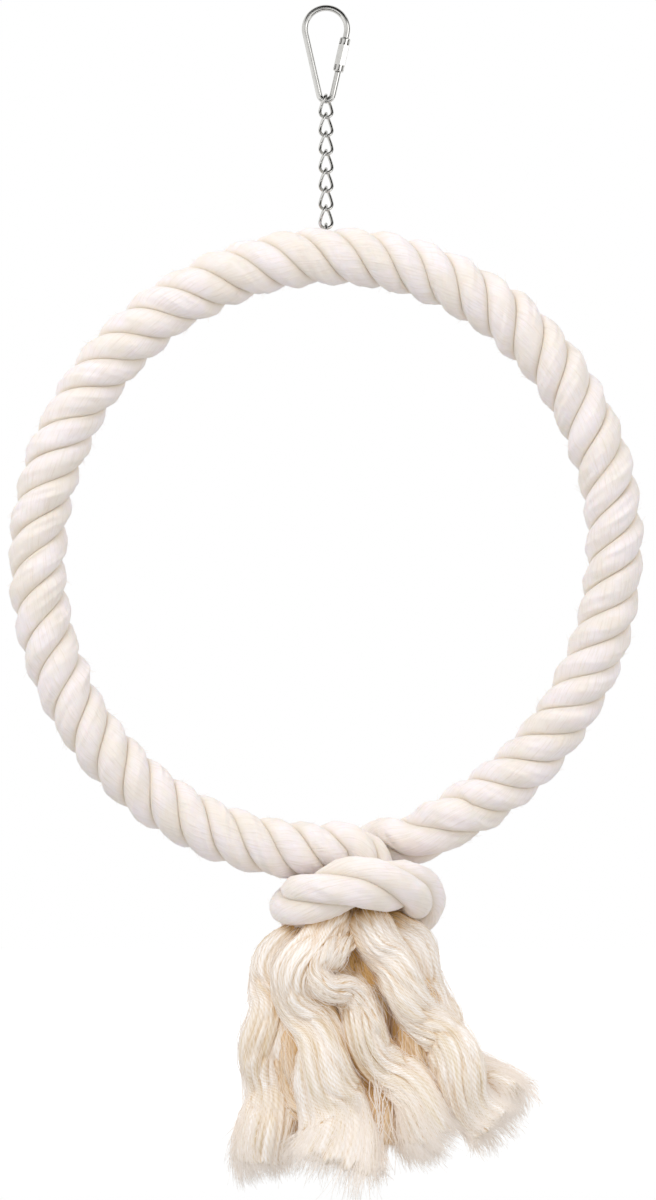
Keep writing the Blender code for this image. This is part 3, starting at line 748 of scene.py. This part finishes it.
# Sizes, along by round, of the random tables for a lock's lobes, yarns and fibres.
LOCK_TABLES = ((9, 7), (11, 21), (18, 68))
LOBE_LEAST, LOBE_HEIGHT = 0.86, 0.28
STAND_LEAST, YARN_STAND, FIBRE_STAND = 0.20, 0.50, 0.42
CLEFT_SINK, CLEFT_WIDTH = 0.55, 0.09
STREAK_DEPTH = 0.0020


def swirl(at, tables, turn=5.5, ease=0.45, stray=0.35, waves=9.0):
    """How far the yarns have turned round a lock at a share of its length; less towards its end."""
    uneven = stray * sin(waves * at + ANY_PHASE[1] * tables[0][0, 0])
    return turn * (at - ease * at**2) + uneven


def lock_reach(angle, at, girth, tables):
    """Reach of a lock's surface, and how high its yarns stand there, from 0 to 1.

    The girth swells in broad lobes, and yarns and fibres are two finer streaks cut into it. All
    three swirl round the lock as its old twist does.
    """
    turned = angle + swirl(at, tables)
    lobes, yarns, fibres = (streaks(table, turned, at) for table in tables)
    cleft = np.exp(-(((yarns - 0.5) / CLEFT_WIDTH) ** 2))
    stand = STAND_LEAST + YARN_STAND * yarns + FIBRE_STAND * fibres - CLEFT_SINK * cleft
    stand = np.clip(stand, 0.0, 1.0)
    return girth * (LOBE_LEAST + LOBE_HEIGHT * lobes) - STREAK_DEPTH * (1.0 - stand), stand


# Teased cotton yarn: the same undyed fibre in soft locks, nearly white where it stands out, with
# fine lines along the yarns and some yellower tufts near the ends. Painted shade makes it warm
# tan deep in the tassel and in the hollows between its yarns, and warmer in every crevice that
# ambient occlusion finds.
PLIES_ROUND, PLY_PITCH, PLY_AMOUNT = 36.0, 0.0021, 0.10
yarn_cotton, shader, node = finish_named("teased_cotton_yarn", roughness=0.92, sheen_weight=0.20,
                                         sheen_roughness=0.45, specular_ior_level=0.20)
combed = node("Attribute", attribute_name="combed").outputs["Vector"]
grain = []
for width, length, detail, rough in ((0.0005, 0.0110, 3.0, 0.6), (0.0018, 0.0160, 2.0, 0.5),
                                     (0.0040, 0.0180, 2.0, 0.5)):
    drawn_out = node("Mapping", {"Scale": (1 / width, 1 / width, 1 / length)},
                     {"Vector": combed})
    grain.append(node("TexNoise", {"Scale": 1.0, "Detail": detail, "Roughness": rough},
                      {"Vector": drawn_out}))
fine, broad, tufts = grain
wisps = node("Mix", {0: 0.45}, {2: fine, 3: broad})
spread = node("SeparateXYZ", {}, {"Vector": combed})
round_it = node("Math", {}, {0: spread.outputs["Y"], 1: spread.outputs["X"]}, operation="ARCTAN2")
round_it = node("Math", {1: PLIES_ROUND}, {0: round_it}, operation="MULTIPLY")
down_it = node("Math", {1: 2.0 * pi / PLY_PITCH}, {0: spread.outputs["Z"]}, operation="MULTIPLY")
across_it = node("Math", {}, {0: round_it, 1: down_it}, operation="ADD")
ply = node("Math", {}, {0: across_it}, operation="SINE")
ply = node("Math", {}, {0: ply, 1: broad}, operation="MULTIPLY")
ply = node("Math", {1: PLY_AMOUNT}, {0: ply}, operation="MULTIPLY")
wisps = node("Math", {}, {0: wisps, 1: ply}, operation="ADD")
lit = node("MapRange", {"From Min": 0.34, "From Max": 0.57}, {"Value": wisps})
ivory = node("Mix", {6: linear("#DFCBAD"), 7: linear("#FFFAF7")}, {0: lit}, data_type="RGBA")
tuft = node("MapRange", {"From Min": 0.40, "From Max": 0.60}, {"Value": tufts})
near_end = node("MapRange", {"From Min": 0.035, "From Max": 0.085, "To Max": 0.40},
                {"Value": spread.outputs["Z"]})
aged = node("Math", {}, {0: tuft, 1: near_end}, operation="MULTIPLY")
ivory = node("Mix", {7: linear("#D9C5A0")}, {0: aged, 6: ivory}, data_type="RGBA")
# Painted shade deep in the tassel: a warm tan that follows the yarn streaks.
shade_tan = node("Mix", {6: linear("#B57F43"), 7: linear("#E9C692")}, {0: lit}, data_type="RGBA")
tassel_shade = node("Attribute", attribute_name="tassel_shade").outputs["Fac"]
tassel_shaded = node("Mix", {}, {0: tassel_shade, 6: ivory, 7: shade_tan}, data_type="RGBA")
# Painted shade: a warmer colour wherever ambient occlusion finds a crevice.
shut_in = node("AmbientOcclusion", {"Distance": 0.010}, samples=8).outputs["AO"]
crevice_shade = node("MapRange", {"From Min": 0.10, "From Max": 0.82, "To Min": 1.0, "To Max": 0.0},
               {"Value": shut_in})
crevice_shaded = node("Mix", {7: linear("#D8AF6B")}, {0: crevice_shade, 6: tassel_shaded}, data_type="RGBA")
fuzz = node("Bump", {"Strength": 0.55, "Distance": 0.0007}, {"Height": wisps})
feed(shader, {"Base Color": crevice_shaded, "Normal": fuzz})

# The tassel's outside, in rope diameters: at the knot, and what it gains by the tassel's end.
TASSEL_TOP, TASSEL_LENGTH = 1.1, 4.5
TASSEL_MIDDLE, TASSEL_WIDTH, TASSEL_DEPTH = (0.05, 0.45), (1.15, 1.55), (1.00, 0.30)
TASSEL_SHELL, TASSEL_EASE = 0.80, 0.35
END_LIGHTER, END_FROM, END_EASE = 0.75, 0.55, 0.40


def in_front(points, edge=0.05, ease=0.35):
    """1 on the tassel's front and 0 on its back, where the locks lie close and leave no gaps."""
    return 1.0 - rise((points[..., 1] / ROPE_DIAMETER + edge) / ease)


def in_tassel(points):
    """How deep points lie in the tassel: 0 on its outside and back and 1 near its middle.

    The outside is an ellipse at each height that widens from the knot down and shifts right.
    """
    below = neck[2] - TASSEL_TOP * ROPE_DIAMETER - points[..., 2]
    down = np.clip(below / (TASSEL_LENGTH * ROPE_DIAMETER), 0.0, 1.0)
    shift, half_width, half_depth = (ROPE_DIAMETER * (at_knot + gain * down) for at_knot, gain in
                                     (TASSEL_MIDDLE, TASSEL_WIDTH, TASSEL_DEPTH))
    reach = np.hypot((points[..., 0] - (neck[0] + shift)) / half_width, points[..., 1] / half_depth)
    lighter = 1.0 - END_LIGHTER * rise((down - END_FROM) / END_EASE)
    return in_front(points) * rise((TASSEL_SHELL - reach) / TASSEL_EASE) * lighter


# A lock's body: its route and crimp, its mesh, its cut end in shares of its length and how that
# closes, how much painted shade its hollows and cut end take, and the radius that its yarn lines
# are wound at.
ROUTE_ROWS, FIRST_SIDE = 24, np.array((1.0, 0.2, 0.1))
CRIMP, CRIMP_START, CRIMP_EASE = 0.0022, 0.022, 0.020
LOCK_ROWS, LOCK_SIDES, LOCK_END_ROWS = 180, 136, 4
CUT_AT, CUT_WAVE, CUT_RAGGED, CUT_BULGE = 0.915, 0.040, 0.012, 0.014
CUT_CLOSES, CUT_STAND, CUT_SHADE = 0.97, 0.7, 0.05
SUNK_SHADE = 0.30
SHADE_LOST, SHADE_FROM, SHADE_EASE = 0.7, 0.45, 0.45
WOUND_RADIUS = 0.010
# Its fibres: some lie along it and a few of those stray, and most are frayed out of its cut end
# in tufts. Where they begin and stop is in shares of the lock's length.
LYING_FIBRES, FRAYED_FIBRES, FIBRE_STEPS = 520, 1800, 8
FIBRE_RADIUS, FIBRE_GIRTHS = 0.00010, (0.6, 1.3)
FIBRE_ROOT, FIBRE_TAPER, FIBRE_THINNEST = 0.1, 4.0, 0.3
FIBRE_TONE, FIBRE_TONE_STRAY, FIBRE_SHADE = 0.70, 0.22, 0.6
FIBRE_SINK, FIBRE_BEND = 0.0001, 0.0009
FIBRE_CURL, FIBRE_CURLS = 0.0007, 9.0
FIBRE_DRIFT, STRAY_DRIFT, STRAY_SHARE = 0.28, 0.9, 0.08
LYING_BEGIN, LYING_LENGTH, LYING_LOOSE = (0.03, 0.78), (0.10, 0.26), 0.25
LYING_LIFT, STRAY_LIFT, FRAYED_LIFT = 0.0008, (0.0004, 0.0026), (0.0004, 0.0010)
FRAYED_BEGIN, FRAYED_STRAY, FRAYED_LAST = (0.70, 0.91), 0.012, 1.012
FRAYED_INSIDE, FRAYED_DEPTH = 0.5, (0.02, 1.0)
TUFTS, TUFT_WIDTH, TUFT_STOP, TUFT_STOP_STRAY = 30, 0.12, 0.975, 0.018
TUFT_SPLAY, TUFT_SPLAY_MOST = 0.0024, 0.0030


def tease(name, points, seed, fullness, frayed, shade=0.0):
    """One lock: a body of swirled yarns carried along its route, and the loose fibres on it.

    points give x, y, z and the lock's radius in rope diameters from the neck, and shade is the
    painted shade that the whole lock takes for lying deep in the tassel. Returns the body.
    """
    rng = np.random.default_rng(seed)
    wave = smooth_route(np.array(points), ROUTE_ROWS)
    line_of = neck + ROPE_DIAMETER * wave[:, :3]
    run_of = run_along(line_of)
    way_of, side_of = carry(line_of, FIRST_SIDE)
    crimp = 2.0 * pi * run_of / LAY_LENGTH + rng.uniform(*ANY_PHASE)
    amount = CRIMP * rise((run_of - CRIMP_START) / CRIMP_EASE)
    line_of = line_of + amount[:, None] * (
        cos(crimp)[:, None] * side_of + sin(crimp)[:, None] * np.cross(way_of, side_of))
    way_of, side_of = carry(line_of, FIRST_SIDE)
    tracks = (line_of, side_of, way_of)
    share_of = run_of / run_of[-1]
    tables = [rng.random(size) for size in LOCK_TABLES]
    girth_of = wave[:, 3] * ROPE_DIAMETER * fullness(share_of)

    # Body: rows go down the lock to its ragged cut, and the last few turn in to close it.
    angle = np.arange(LOCK_SIDES) * 2.0 * pi / LOCK_SIDES
    ragged = (CUT_AT + CUT_WAVE * streaks(tables[1], angle, 0.5 + 0.0 * angle)
              + CUT_RAGGED * rng.random(LOCK_SIDES))
    at = np.linspace(0.0, 1.0, LOCK_ROWS)[:, None] * ragged
    inward = np.linspace(0.0, 1.0, LOCK_END_ROWS + 1)[1:, None]
    shut = cos(inward * pi / 2.0 * CUT_CLOSES)
    level = at[-1].mean()
    bulge = CUT_BULGE * sin(inward * pi / 2.0)
    at = np.vstack([at, level + (at[-1:] - level) * shut + bulge])
    line, side, way = read_along(at, share_of, *tracks)
    reach, stand = lock_reach(angle[None, :], at, np.interp(at, share_of, girth_of), tables)
    closing = reach[LOCK_ROWS:]
    even = closing.mean(axis=1, keepdims=True)
    reach[LOCK_ROWS:] = shut * (closing * shut + even * (1.0 - shut))
    out = cos(angle)[:, None] * side + sin(angle)[:, None] * np.cross(way, side)
    grid = line + reach[..., None] * out
    body = skin(name + "_body", grid, yarn_cotton)
    surface = np.vstack([grid.reshape(-1, 3), grid[0].mean(axis=0), grid[-1].mean(axis=0)])
    # Painted shade: deep in the tassel, less towards the lock's end and none on its back, and in
    # the hollows between yarns and on the cut end.
    shade = shade * (1.0 - SHADE_LOST * rise((at - SHADE_FROM) / SHADE_EASE)) * in_front(grid)
    stand[LOCK_ROWS:] = CUT_STAND + (stand[LOCK_ROWS:] - CUT_STAND) * shut
    yarn_shade = (SUNK_SHADE * (1.0 - stand) ** 2 + shade).ravel()
    yarn_shade = np.concatenate([yarn_shade, [CUT_SHADE, CUT_SHADE]])
    turned = angle[None, :] + swirl(at, tables)
    wound = np.vstack([np.full((LOCK_ROWS, 1), WOUND_RADIUS), WOUND_RADIUS * shut])
    combed = np.stack([wound * cos(turned), wound * sin(turned), at * run_of[-1]], axis=-1)
    put_values(body, "tassel_shade", np.clip(in_tassel(surface) + yarn_shade, 0.0, 1.0))
    put_values(body, "combed", np.vstack([combed.reshape(-1, 3), combed[[0, -1]].mean(axis=1)]))
    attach(body, "ring")

    # Loose fibres: the lying ones lift off the lock, and the frayed ones stand out and splay.
    count = LYING_FIBRES + frayed
    fray = np.arange(count) >= LYING_FIBRES
    stray = ~fray & (rng.random(count) < STRAY_SHARE)
    step = np.linspace(0.0, 1.0, FIBRE_STEPS)
    tuft = rng.integers(0, TUFTS, count)
    tuft_stop = TUFT_STOP + TUFT_STOP_STRAY * rng.standard_normal(TUFTS)
    tuft_splay = rng.normal(0.0, TUFT_SPLAY, (TUFTS, 3))
    tuft_splay = np.clip(tuft_splay, -TUFT_SPLAY_MOST, TUFT_SPLAY_MOST)
    start_turn = np.where(fray, tuft * 2.0 * pi / TUFTS + rng.normal(0.0, TUFT_WIDTH, count),
                          rng.uniform(*ANY_PHASE, count))
    begin = np.where(fray, rng.uniform(*FRAYED_BEGIN, count), rng.uniform(*LYING_BEGIN, count))
    stop = np.where(fray, tuft_stop[tuft] + rng.normal(0.0, FRAYED_STRAY, count),
                    begin + rng.uniform(*LYING_LENGTH, count))
    stop = np.minimum(stop, FRAYED_LAST)
    at = begin[:, None] + (stop - begin)[:, None] * step
    beyond = np.clip(at - 1.0, 0.0, None) * run_of[-1]
    inside = np.clip(at, 0.0, 1.0)
    line, side, way = read_along(inside, share_of, *tracks)
    drift = np.where(stray, rng.normal(0.0, STRAY_DRIFT, count),
                     rng.normal(0.0, FIBRE_DRIFT, count))
    turn = start_turn[:, None] - swirl(at, tables) + drift[:, None] * step
    reach = lock_reach(turn, inside, np.interp(inside, share_of, girth_of), tables)[0]
    depth = np.where(fray & (rng.random(count) < FRAYED_INSIDE),
                     rng.uniform(*FRAYED_DEPTH, count) ** 0.5, 1.0)[:, None]
    lift = np.abs(rng.normal(0.0, LYING_LIFT, count))
    lift = lift + np.where(stray, rng.uniform(*STRAY_LIFT, count), 0.0)
    lift = np.where(fray, rng.normal(*FRAYED_LIFT, count), lift)[:, None]
    arch = np.where(fray[:, None], step**2, sin(pi * step)) * lift
    out = cos(turn)[..., None] * side + sin(turn)[..., None] * np.cross(way, side)
    path = line + (reach * depth + arch - FIBRE_SINK)[..., None] * out + beyond[..., None] * way
    loose = np.where(fray[:, None], step**2, LYING_LOOSE * step**2)[..., None]
    splay = fray[:, None, None] * tuft_splay[tuft][:, None]
    path = path + loose * (rng.normal(0.0, FIBRE_BEND, (count, 1, 3)) + splay)
    curl = FIBRE_CURL * sin(FIBRE_CURLS * step + rng.uniform(*ANY_PHASE, (count, 1)))
    path = path + (curl * loose[..., 0])[..., None] * side
    thin = np.minimum(step + FIBRE_ROOT, 1.0 - step) * FIBRE_TAPER
    thin = np.clip(thin, FIBRE_THINNEST, 1.0)
    radius = FIBRE_RADIUS * rng.uniform(*FIBRE_GIRTHS, count)[:, None] * thin
    fibre = hairs(name + "_fibres", path, radius, side, fibre_cotton)
    tone_of = np.clip(FIBRE_TONE + FIBRE_TONE_STRAY * rng.standard_normal(count), 0.0, 1.0)
    # Painted shade for fibres that lie deep in the tassel.
    put_values(fibre, "tassel_shade", np.repeat(FIBRE_SHADE * in_tassel(path).ravel(), 3))
    put_values(fibre, "tone", np.repeat(tone_of, FIBRE_STEPS * 3))
    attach(fibre, "ring")
    return body


def full_neck(share, fullness=1.03, more=0.60, until=0.20, ease=0.14):
    """A lock is packed full where it comes out of the knot and fuller than its core all the way."""
    return fullness + more * rise((until - share) / ease)


for lock_number, (lock_name, (around, *lock_points)) in enumerate(TAIL_ROUTES.items()):
    stem = [(NECK_REACH * math.cos(around), NECK_REACH * math.sin(around), level, NECK_RADIUS)
            for level in (NECK_TOP, NECK_LOW)]
    body = tease(lock_name, stem + lock_points, LOCK_SEED + lock_number, full_neck, FRAYED_FIBRES)
    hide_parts(lock_name)

# Fold. One yarn of the left rope's third strand is pulled forward out of the knot, folds back
# on itself in front of the second and goes in again.
FOLD_SEED = 320
FOLD_ROUTE = (
    (-0.08, -0.70, -1.52, 0.17), (-0.40, -1.00, -1.74, 0.24), (-0.66, -1.12, -2.02, 0.24),
    (-0.50, -1.15, -2.28, 0.24), (-0.16, -1.02, -2.38, 0.26), (0.05, -0.86, -2.76, 0.30),
    (0.22, -0.60, -3.35, 0.24),
)
tease("left_tail_lock_3_fold", FOLD_ROUTE, FOLD_SEED, np.ones_like, frayed=0)

# Inner yarns. The strands' inner yarns lie loose in the middle of the tassel and show in the gaps
# between the locks, warm with painted shade.
INNER_ROUTES = {
    "inner_yarns_left": (
        (-0.30, -0.15, -1.30, 0.40), (-0.72, -0.22, -2.20, 0.52), (-0.85, -0.22, -3.20, 0.55),
        (-0.88, -0.18, -4.20, 0.55), (-0.90, -0.15, -4.90, 0.50),
    ),
    "inner_yarns_middle": (
        (0.05, -0.18, -1.30, 0.40), (0.10, -0.26, -2.20, 0.50), (0.12, -0.26, -3.20, 0.52),
        (0.22, -0.20, -4.20, 0.55), (0.30, -0.15, -5.10, 0.55),
    ),
    "inner_yarns_right": (
        (0.40, -0.15, -1.30, 0.40), (0.78, -0.24, -2.20, 0.48), (0.98, -0.24, -3.10, 0.50),
        (1.35, -0.20, -3.90, 0.55), (1.75, -0.15, -4.50, 0.55),
    ),
}
INNER_SEED, INNER_FRAYED, INNER_SHADE = 330, 200, 0.85
for inner_number, (inner_name, inner_points) in enumerate(INNER_ROUTES.items()):
    tease(inner_name, inner_points, INNER_SEED + inner_number, np.ones_like, INNER_FRAYED,
          INNER_SHADE)

# Loose yarns. A few single yarns have come out of the middle strands and hang across the gap
# between the second and third left locks. Their ends are in rope diameters from the neck.
LOOSE_SEED, LOOSE_YARNS, LOOSE_STEPS = 340, 18, 16
LOOSE_RADIUS, LOOSE_TAPER, LOOSE_TAPER_POWER = 0.00022, 0.5, 4
LOOSE_TOP, LOOSE_TOP_SPREAD = np.array((0.40, -0.84, -3.55)), (0.14, 0.06, 0.14)
LOOSE_LOW, LOOSE_LOW_SPREAD = np.array((0.50, -0.88, -5.15)), (0.15, 0.07, 0.20)
LOOSE_SWAY = (0.07, 0.03, 0.0)
LOOSE_WAVE, LOOSE_WAVES = 0.022, 16.0
LOOSE_TONES, LOOSE_SHADE = (0.6, 1.0), 0.15
rng = np.random.default_rng(LOOSE_SEED)
each = (LOOSE_YARNS, 1, 3)
step = np.linspace(0.0, 1.0, LOOSE_STEPS)[None, :, None]
high = LOOSE_TOP + rng.normal(0.0, 1.0, each) * LOOSE_TOP_SPREAD
low = LOOSE_LOW + rng.normal(0.0, 1.0, each) * LOOSE_LOW_SPREAD
sway = rng.normal(0.0, 1.0, each) * LOOSE_SWAY * sin(pi * step)
wavy = LOOSE_WAVE * sin(LOOSE_WAVES * step + rng.uniform(*ANY_PHASE, each)) * (1.0, 1.0, 0.0)
path = neck + ROPE_DIAMETER * (high * (1.0 - step) + low * step + sway + wavy)
thin = LOOSE_RADIUS * (1.0 - LOOSE_TAPER * step[..., 0] ** LOOSE_TAPER_POWER)
thin = np.broadcast_to(thin, path.shape[:2])
across = np.broadcast_to((1.0, 0.0, 0.0), path.shape)
loose = hairs("loose_yarns", path, thin, across, fibre_cotton)
put_values(loose, "tone", np.repeat(rng.uniform(*LOOSE_TONES, LOOSE_YARNS), LOOSE_STEPS * 3))
# A little painted shade where they lie deep in the tassel.
put_values(loose, "tassel_shade", np.repeat(LOOSE_SHADE * in_tassel(path).ravel(), 3))
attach(loose, "ring")

# Studio. A pale floor lies well under the swing. The light is soft and from all sides, brighter
# from above than from below, with one large lamp from the upper left. The floor glows more the
# farther it is from the origin, so that the swing's shadow shows under it and the floor's far
# part is as white as the sky. Dark cards that only gloss sees draw the metal's edges.
FLOOR_Z = -0.56
FLOOR_HALF = 4.0


def sheet(name, centre, wide, tall, material):
    """A flat sheet of the stage from its centre and the ways to the middles of two sides."""
    mesh = bpy.data.meshes.new(name)
    mesh.from_pydata([centre - wide - tall, centre + wide - tall, centre + wide + tall,
                      centre - wide + tall], [], [(0, 1, 2, 3)])
    mesh.materials.append(material)
    return put_object(name, mesh)


def backdrop(node):
    """1 for rays that show the stage itself: from the camera, in a gloss or through a piece."""
    rays = node("LightPath").outputs
    seen = node("Math", {}, {0: rays["Is Camera Ray"], 1: rays["Is Glossy Ray"]},
                operation="MAXIMUM")
    return node("Math", {}, {0: seen, 1: rays["Is Transmission Ray"]}, operation="MAXIMUM")


# Matt white paint that glows a little where it is seen, by the distance from the origin.
floor_paint, shader, node = finish_named(
    "matt_white_floor", base_color=linear("#D0D0D0"), roughness=0.9, specular_ior_level=0.0,
    emission_color=(1.0, 1.0, 1.0, 1.0))
away = node("VectorMath", {}, {0: node("TexCoord").outputs["Object"]},
            operation="LENGTH").outputs["Value"]
far = node("MapRange", {"From Min": 0.6, "From Max": 2.4, "To Min": 0.25, "To Max": 0.52},
           {"Value": away})
glow = node("Math", {}, {0: backdrop(node), 1: far}, operation="MULTIPLY")
feed(shader, {"Emission Strength": glow})
floor = sheet("floor", np.array((0.0, 0.0, FLOOR_Z)), np.array((FLOOR_HALF, 0.0, 0.0)),
              np.array((0.0, FLOOR_HALF, 0.0)), floor_paint)

world = bpy.data.worlds.new("white_studio")
bpy.context.scene.world = world
world.use_nodes = True
node = partial(add, world.node_tree)
upward = node("SeparateXYZ", {}, {"Vector": node("TexCoord").outputs["Generated"]})
softbox = node("MapRange", {"From Min": -1.0, "From Max": 1.0, "To Min": 0.66, "To Max": 1.00},
               {"Value": upward.outputs["Z"]})
level = node("Mix", {3: 1.0}, {0: backdrop(node), 2: softbox})
sky = world.node_tree.nodes["Background"]
sky.inputs["Color"].default_value = (1.0, 1.0, 1.0, 1.0)
feed(sky, {"Strength": level})


def aim(ob, place, target):
    """Puts a lamp or camera at a place and turns it towards a target."""
    ob.location = place
    ob.rotation_euler = (Vector(target) - Vector(place)).to_track_quat("-Z", "Y").to_euler()


# Square soft lamps: place, size and power.
LAMPS = {
    "upper_left_softbox": ((-0.9, -1.2, 1.1), 0.9, 12.5),
    "right_softbox": ((1.5, -1.4, 0.1), 1.0, 4.0),
    "low_softbox": ((0.3, -1.5, -0.9), 1.0, 2.5),
}
for lamp_name, (place, size, power) in LAMPS.items():
    light = bpy.data.lights.new(lamp_name, "AREA")
    light.size = size
    light.energy = power
    aim(put_object(lamp_name, light), place, (0.0, 0.0, ring_centre_z))

# Black card: matt, for the metal to mirror. Each has its centre, half sizes and two ways.
card_paint = finish_named("black_card", base_color=linear("#1C1B1A"), roughness=1.0,
                          specular_ior_level=0.0)[0]
CARDS = {
    "card_above": ((0.0, -0.42, 0.52), (0.9, 0.56), (1.0, 0.0, 0.0), (0.0, 0.88, 0.47)),
    "card_front": ((0.10, -1.6, -0.1), (0.10, 1.2), (1.0, 0.0, 0.0), (0.0, 0.0, 1.0)),
    "card_right": ((1.20, 0.04, -0.10), (0.36, 0.9), (0.0, 1.0, 0.0), (0.0, 0.0, 1.0)),
    "card_below": ((0.0, -0.50, -0.54), (0.7, 0.25), (1.0, 0.0, 0.0), (0.0, 1.0, 0.0)),
}
for card_name, (centre, half, wide, tall) in CARDS.items():
    card = sheet(card_name, np.array(centre), unit(np.array(wide)) * half[0],
                 unit(np.array(tall)) * half[1], card_paint)
    card.visible_camera = card.visible_diffuse = False
    card.visible_shadow = card.visible_transmission = False

# Camera: level, straight in front, with a long lens. The picture is 656 x 1200 pixels of
# 0.393 mm each, with the origin at pixel 326 across and 11 down.
PIXEL = 0.000393
PICTURE_WIDTH, PICTURE_HEIGHT = 656.0, 1200.0
ORIGIN_ACROSS, ORIGIN_DOWN = 326.0, 11.0
eye = bpy.data.cameras.new("front_camera")
eye.lens = 220.0
eye.clip_end = 20.0
camera = put_object("front_camera", eye)
aim_x = (PICTURE_WIDTH / 2 - ORIGIN_ACROSS) * PIXEL
aim_z = (ORIGIN_DOWN - PICTURE_HEIGHT / 2) * PIXEL
distance = PICTURE_HEIGHT * PIXEL * eye.lens / eye.sensor_width
aim(camera, (aim_x, -distance, aim_z), (aim_x, 0.0, aim_z))
bpy.context.scene.camera = camera
bpy.context.scene.view_settings.view_transform = "Standard"
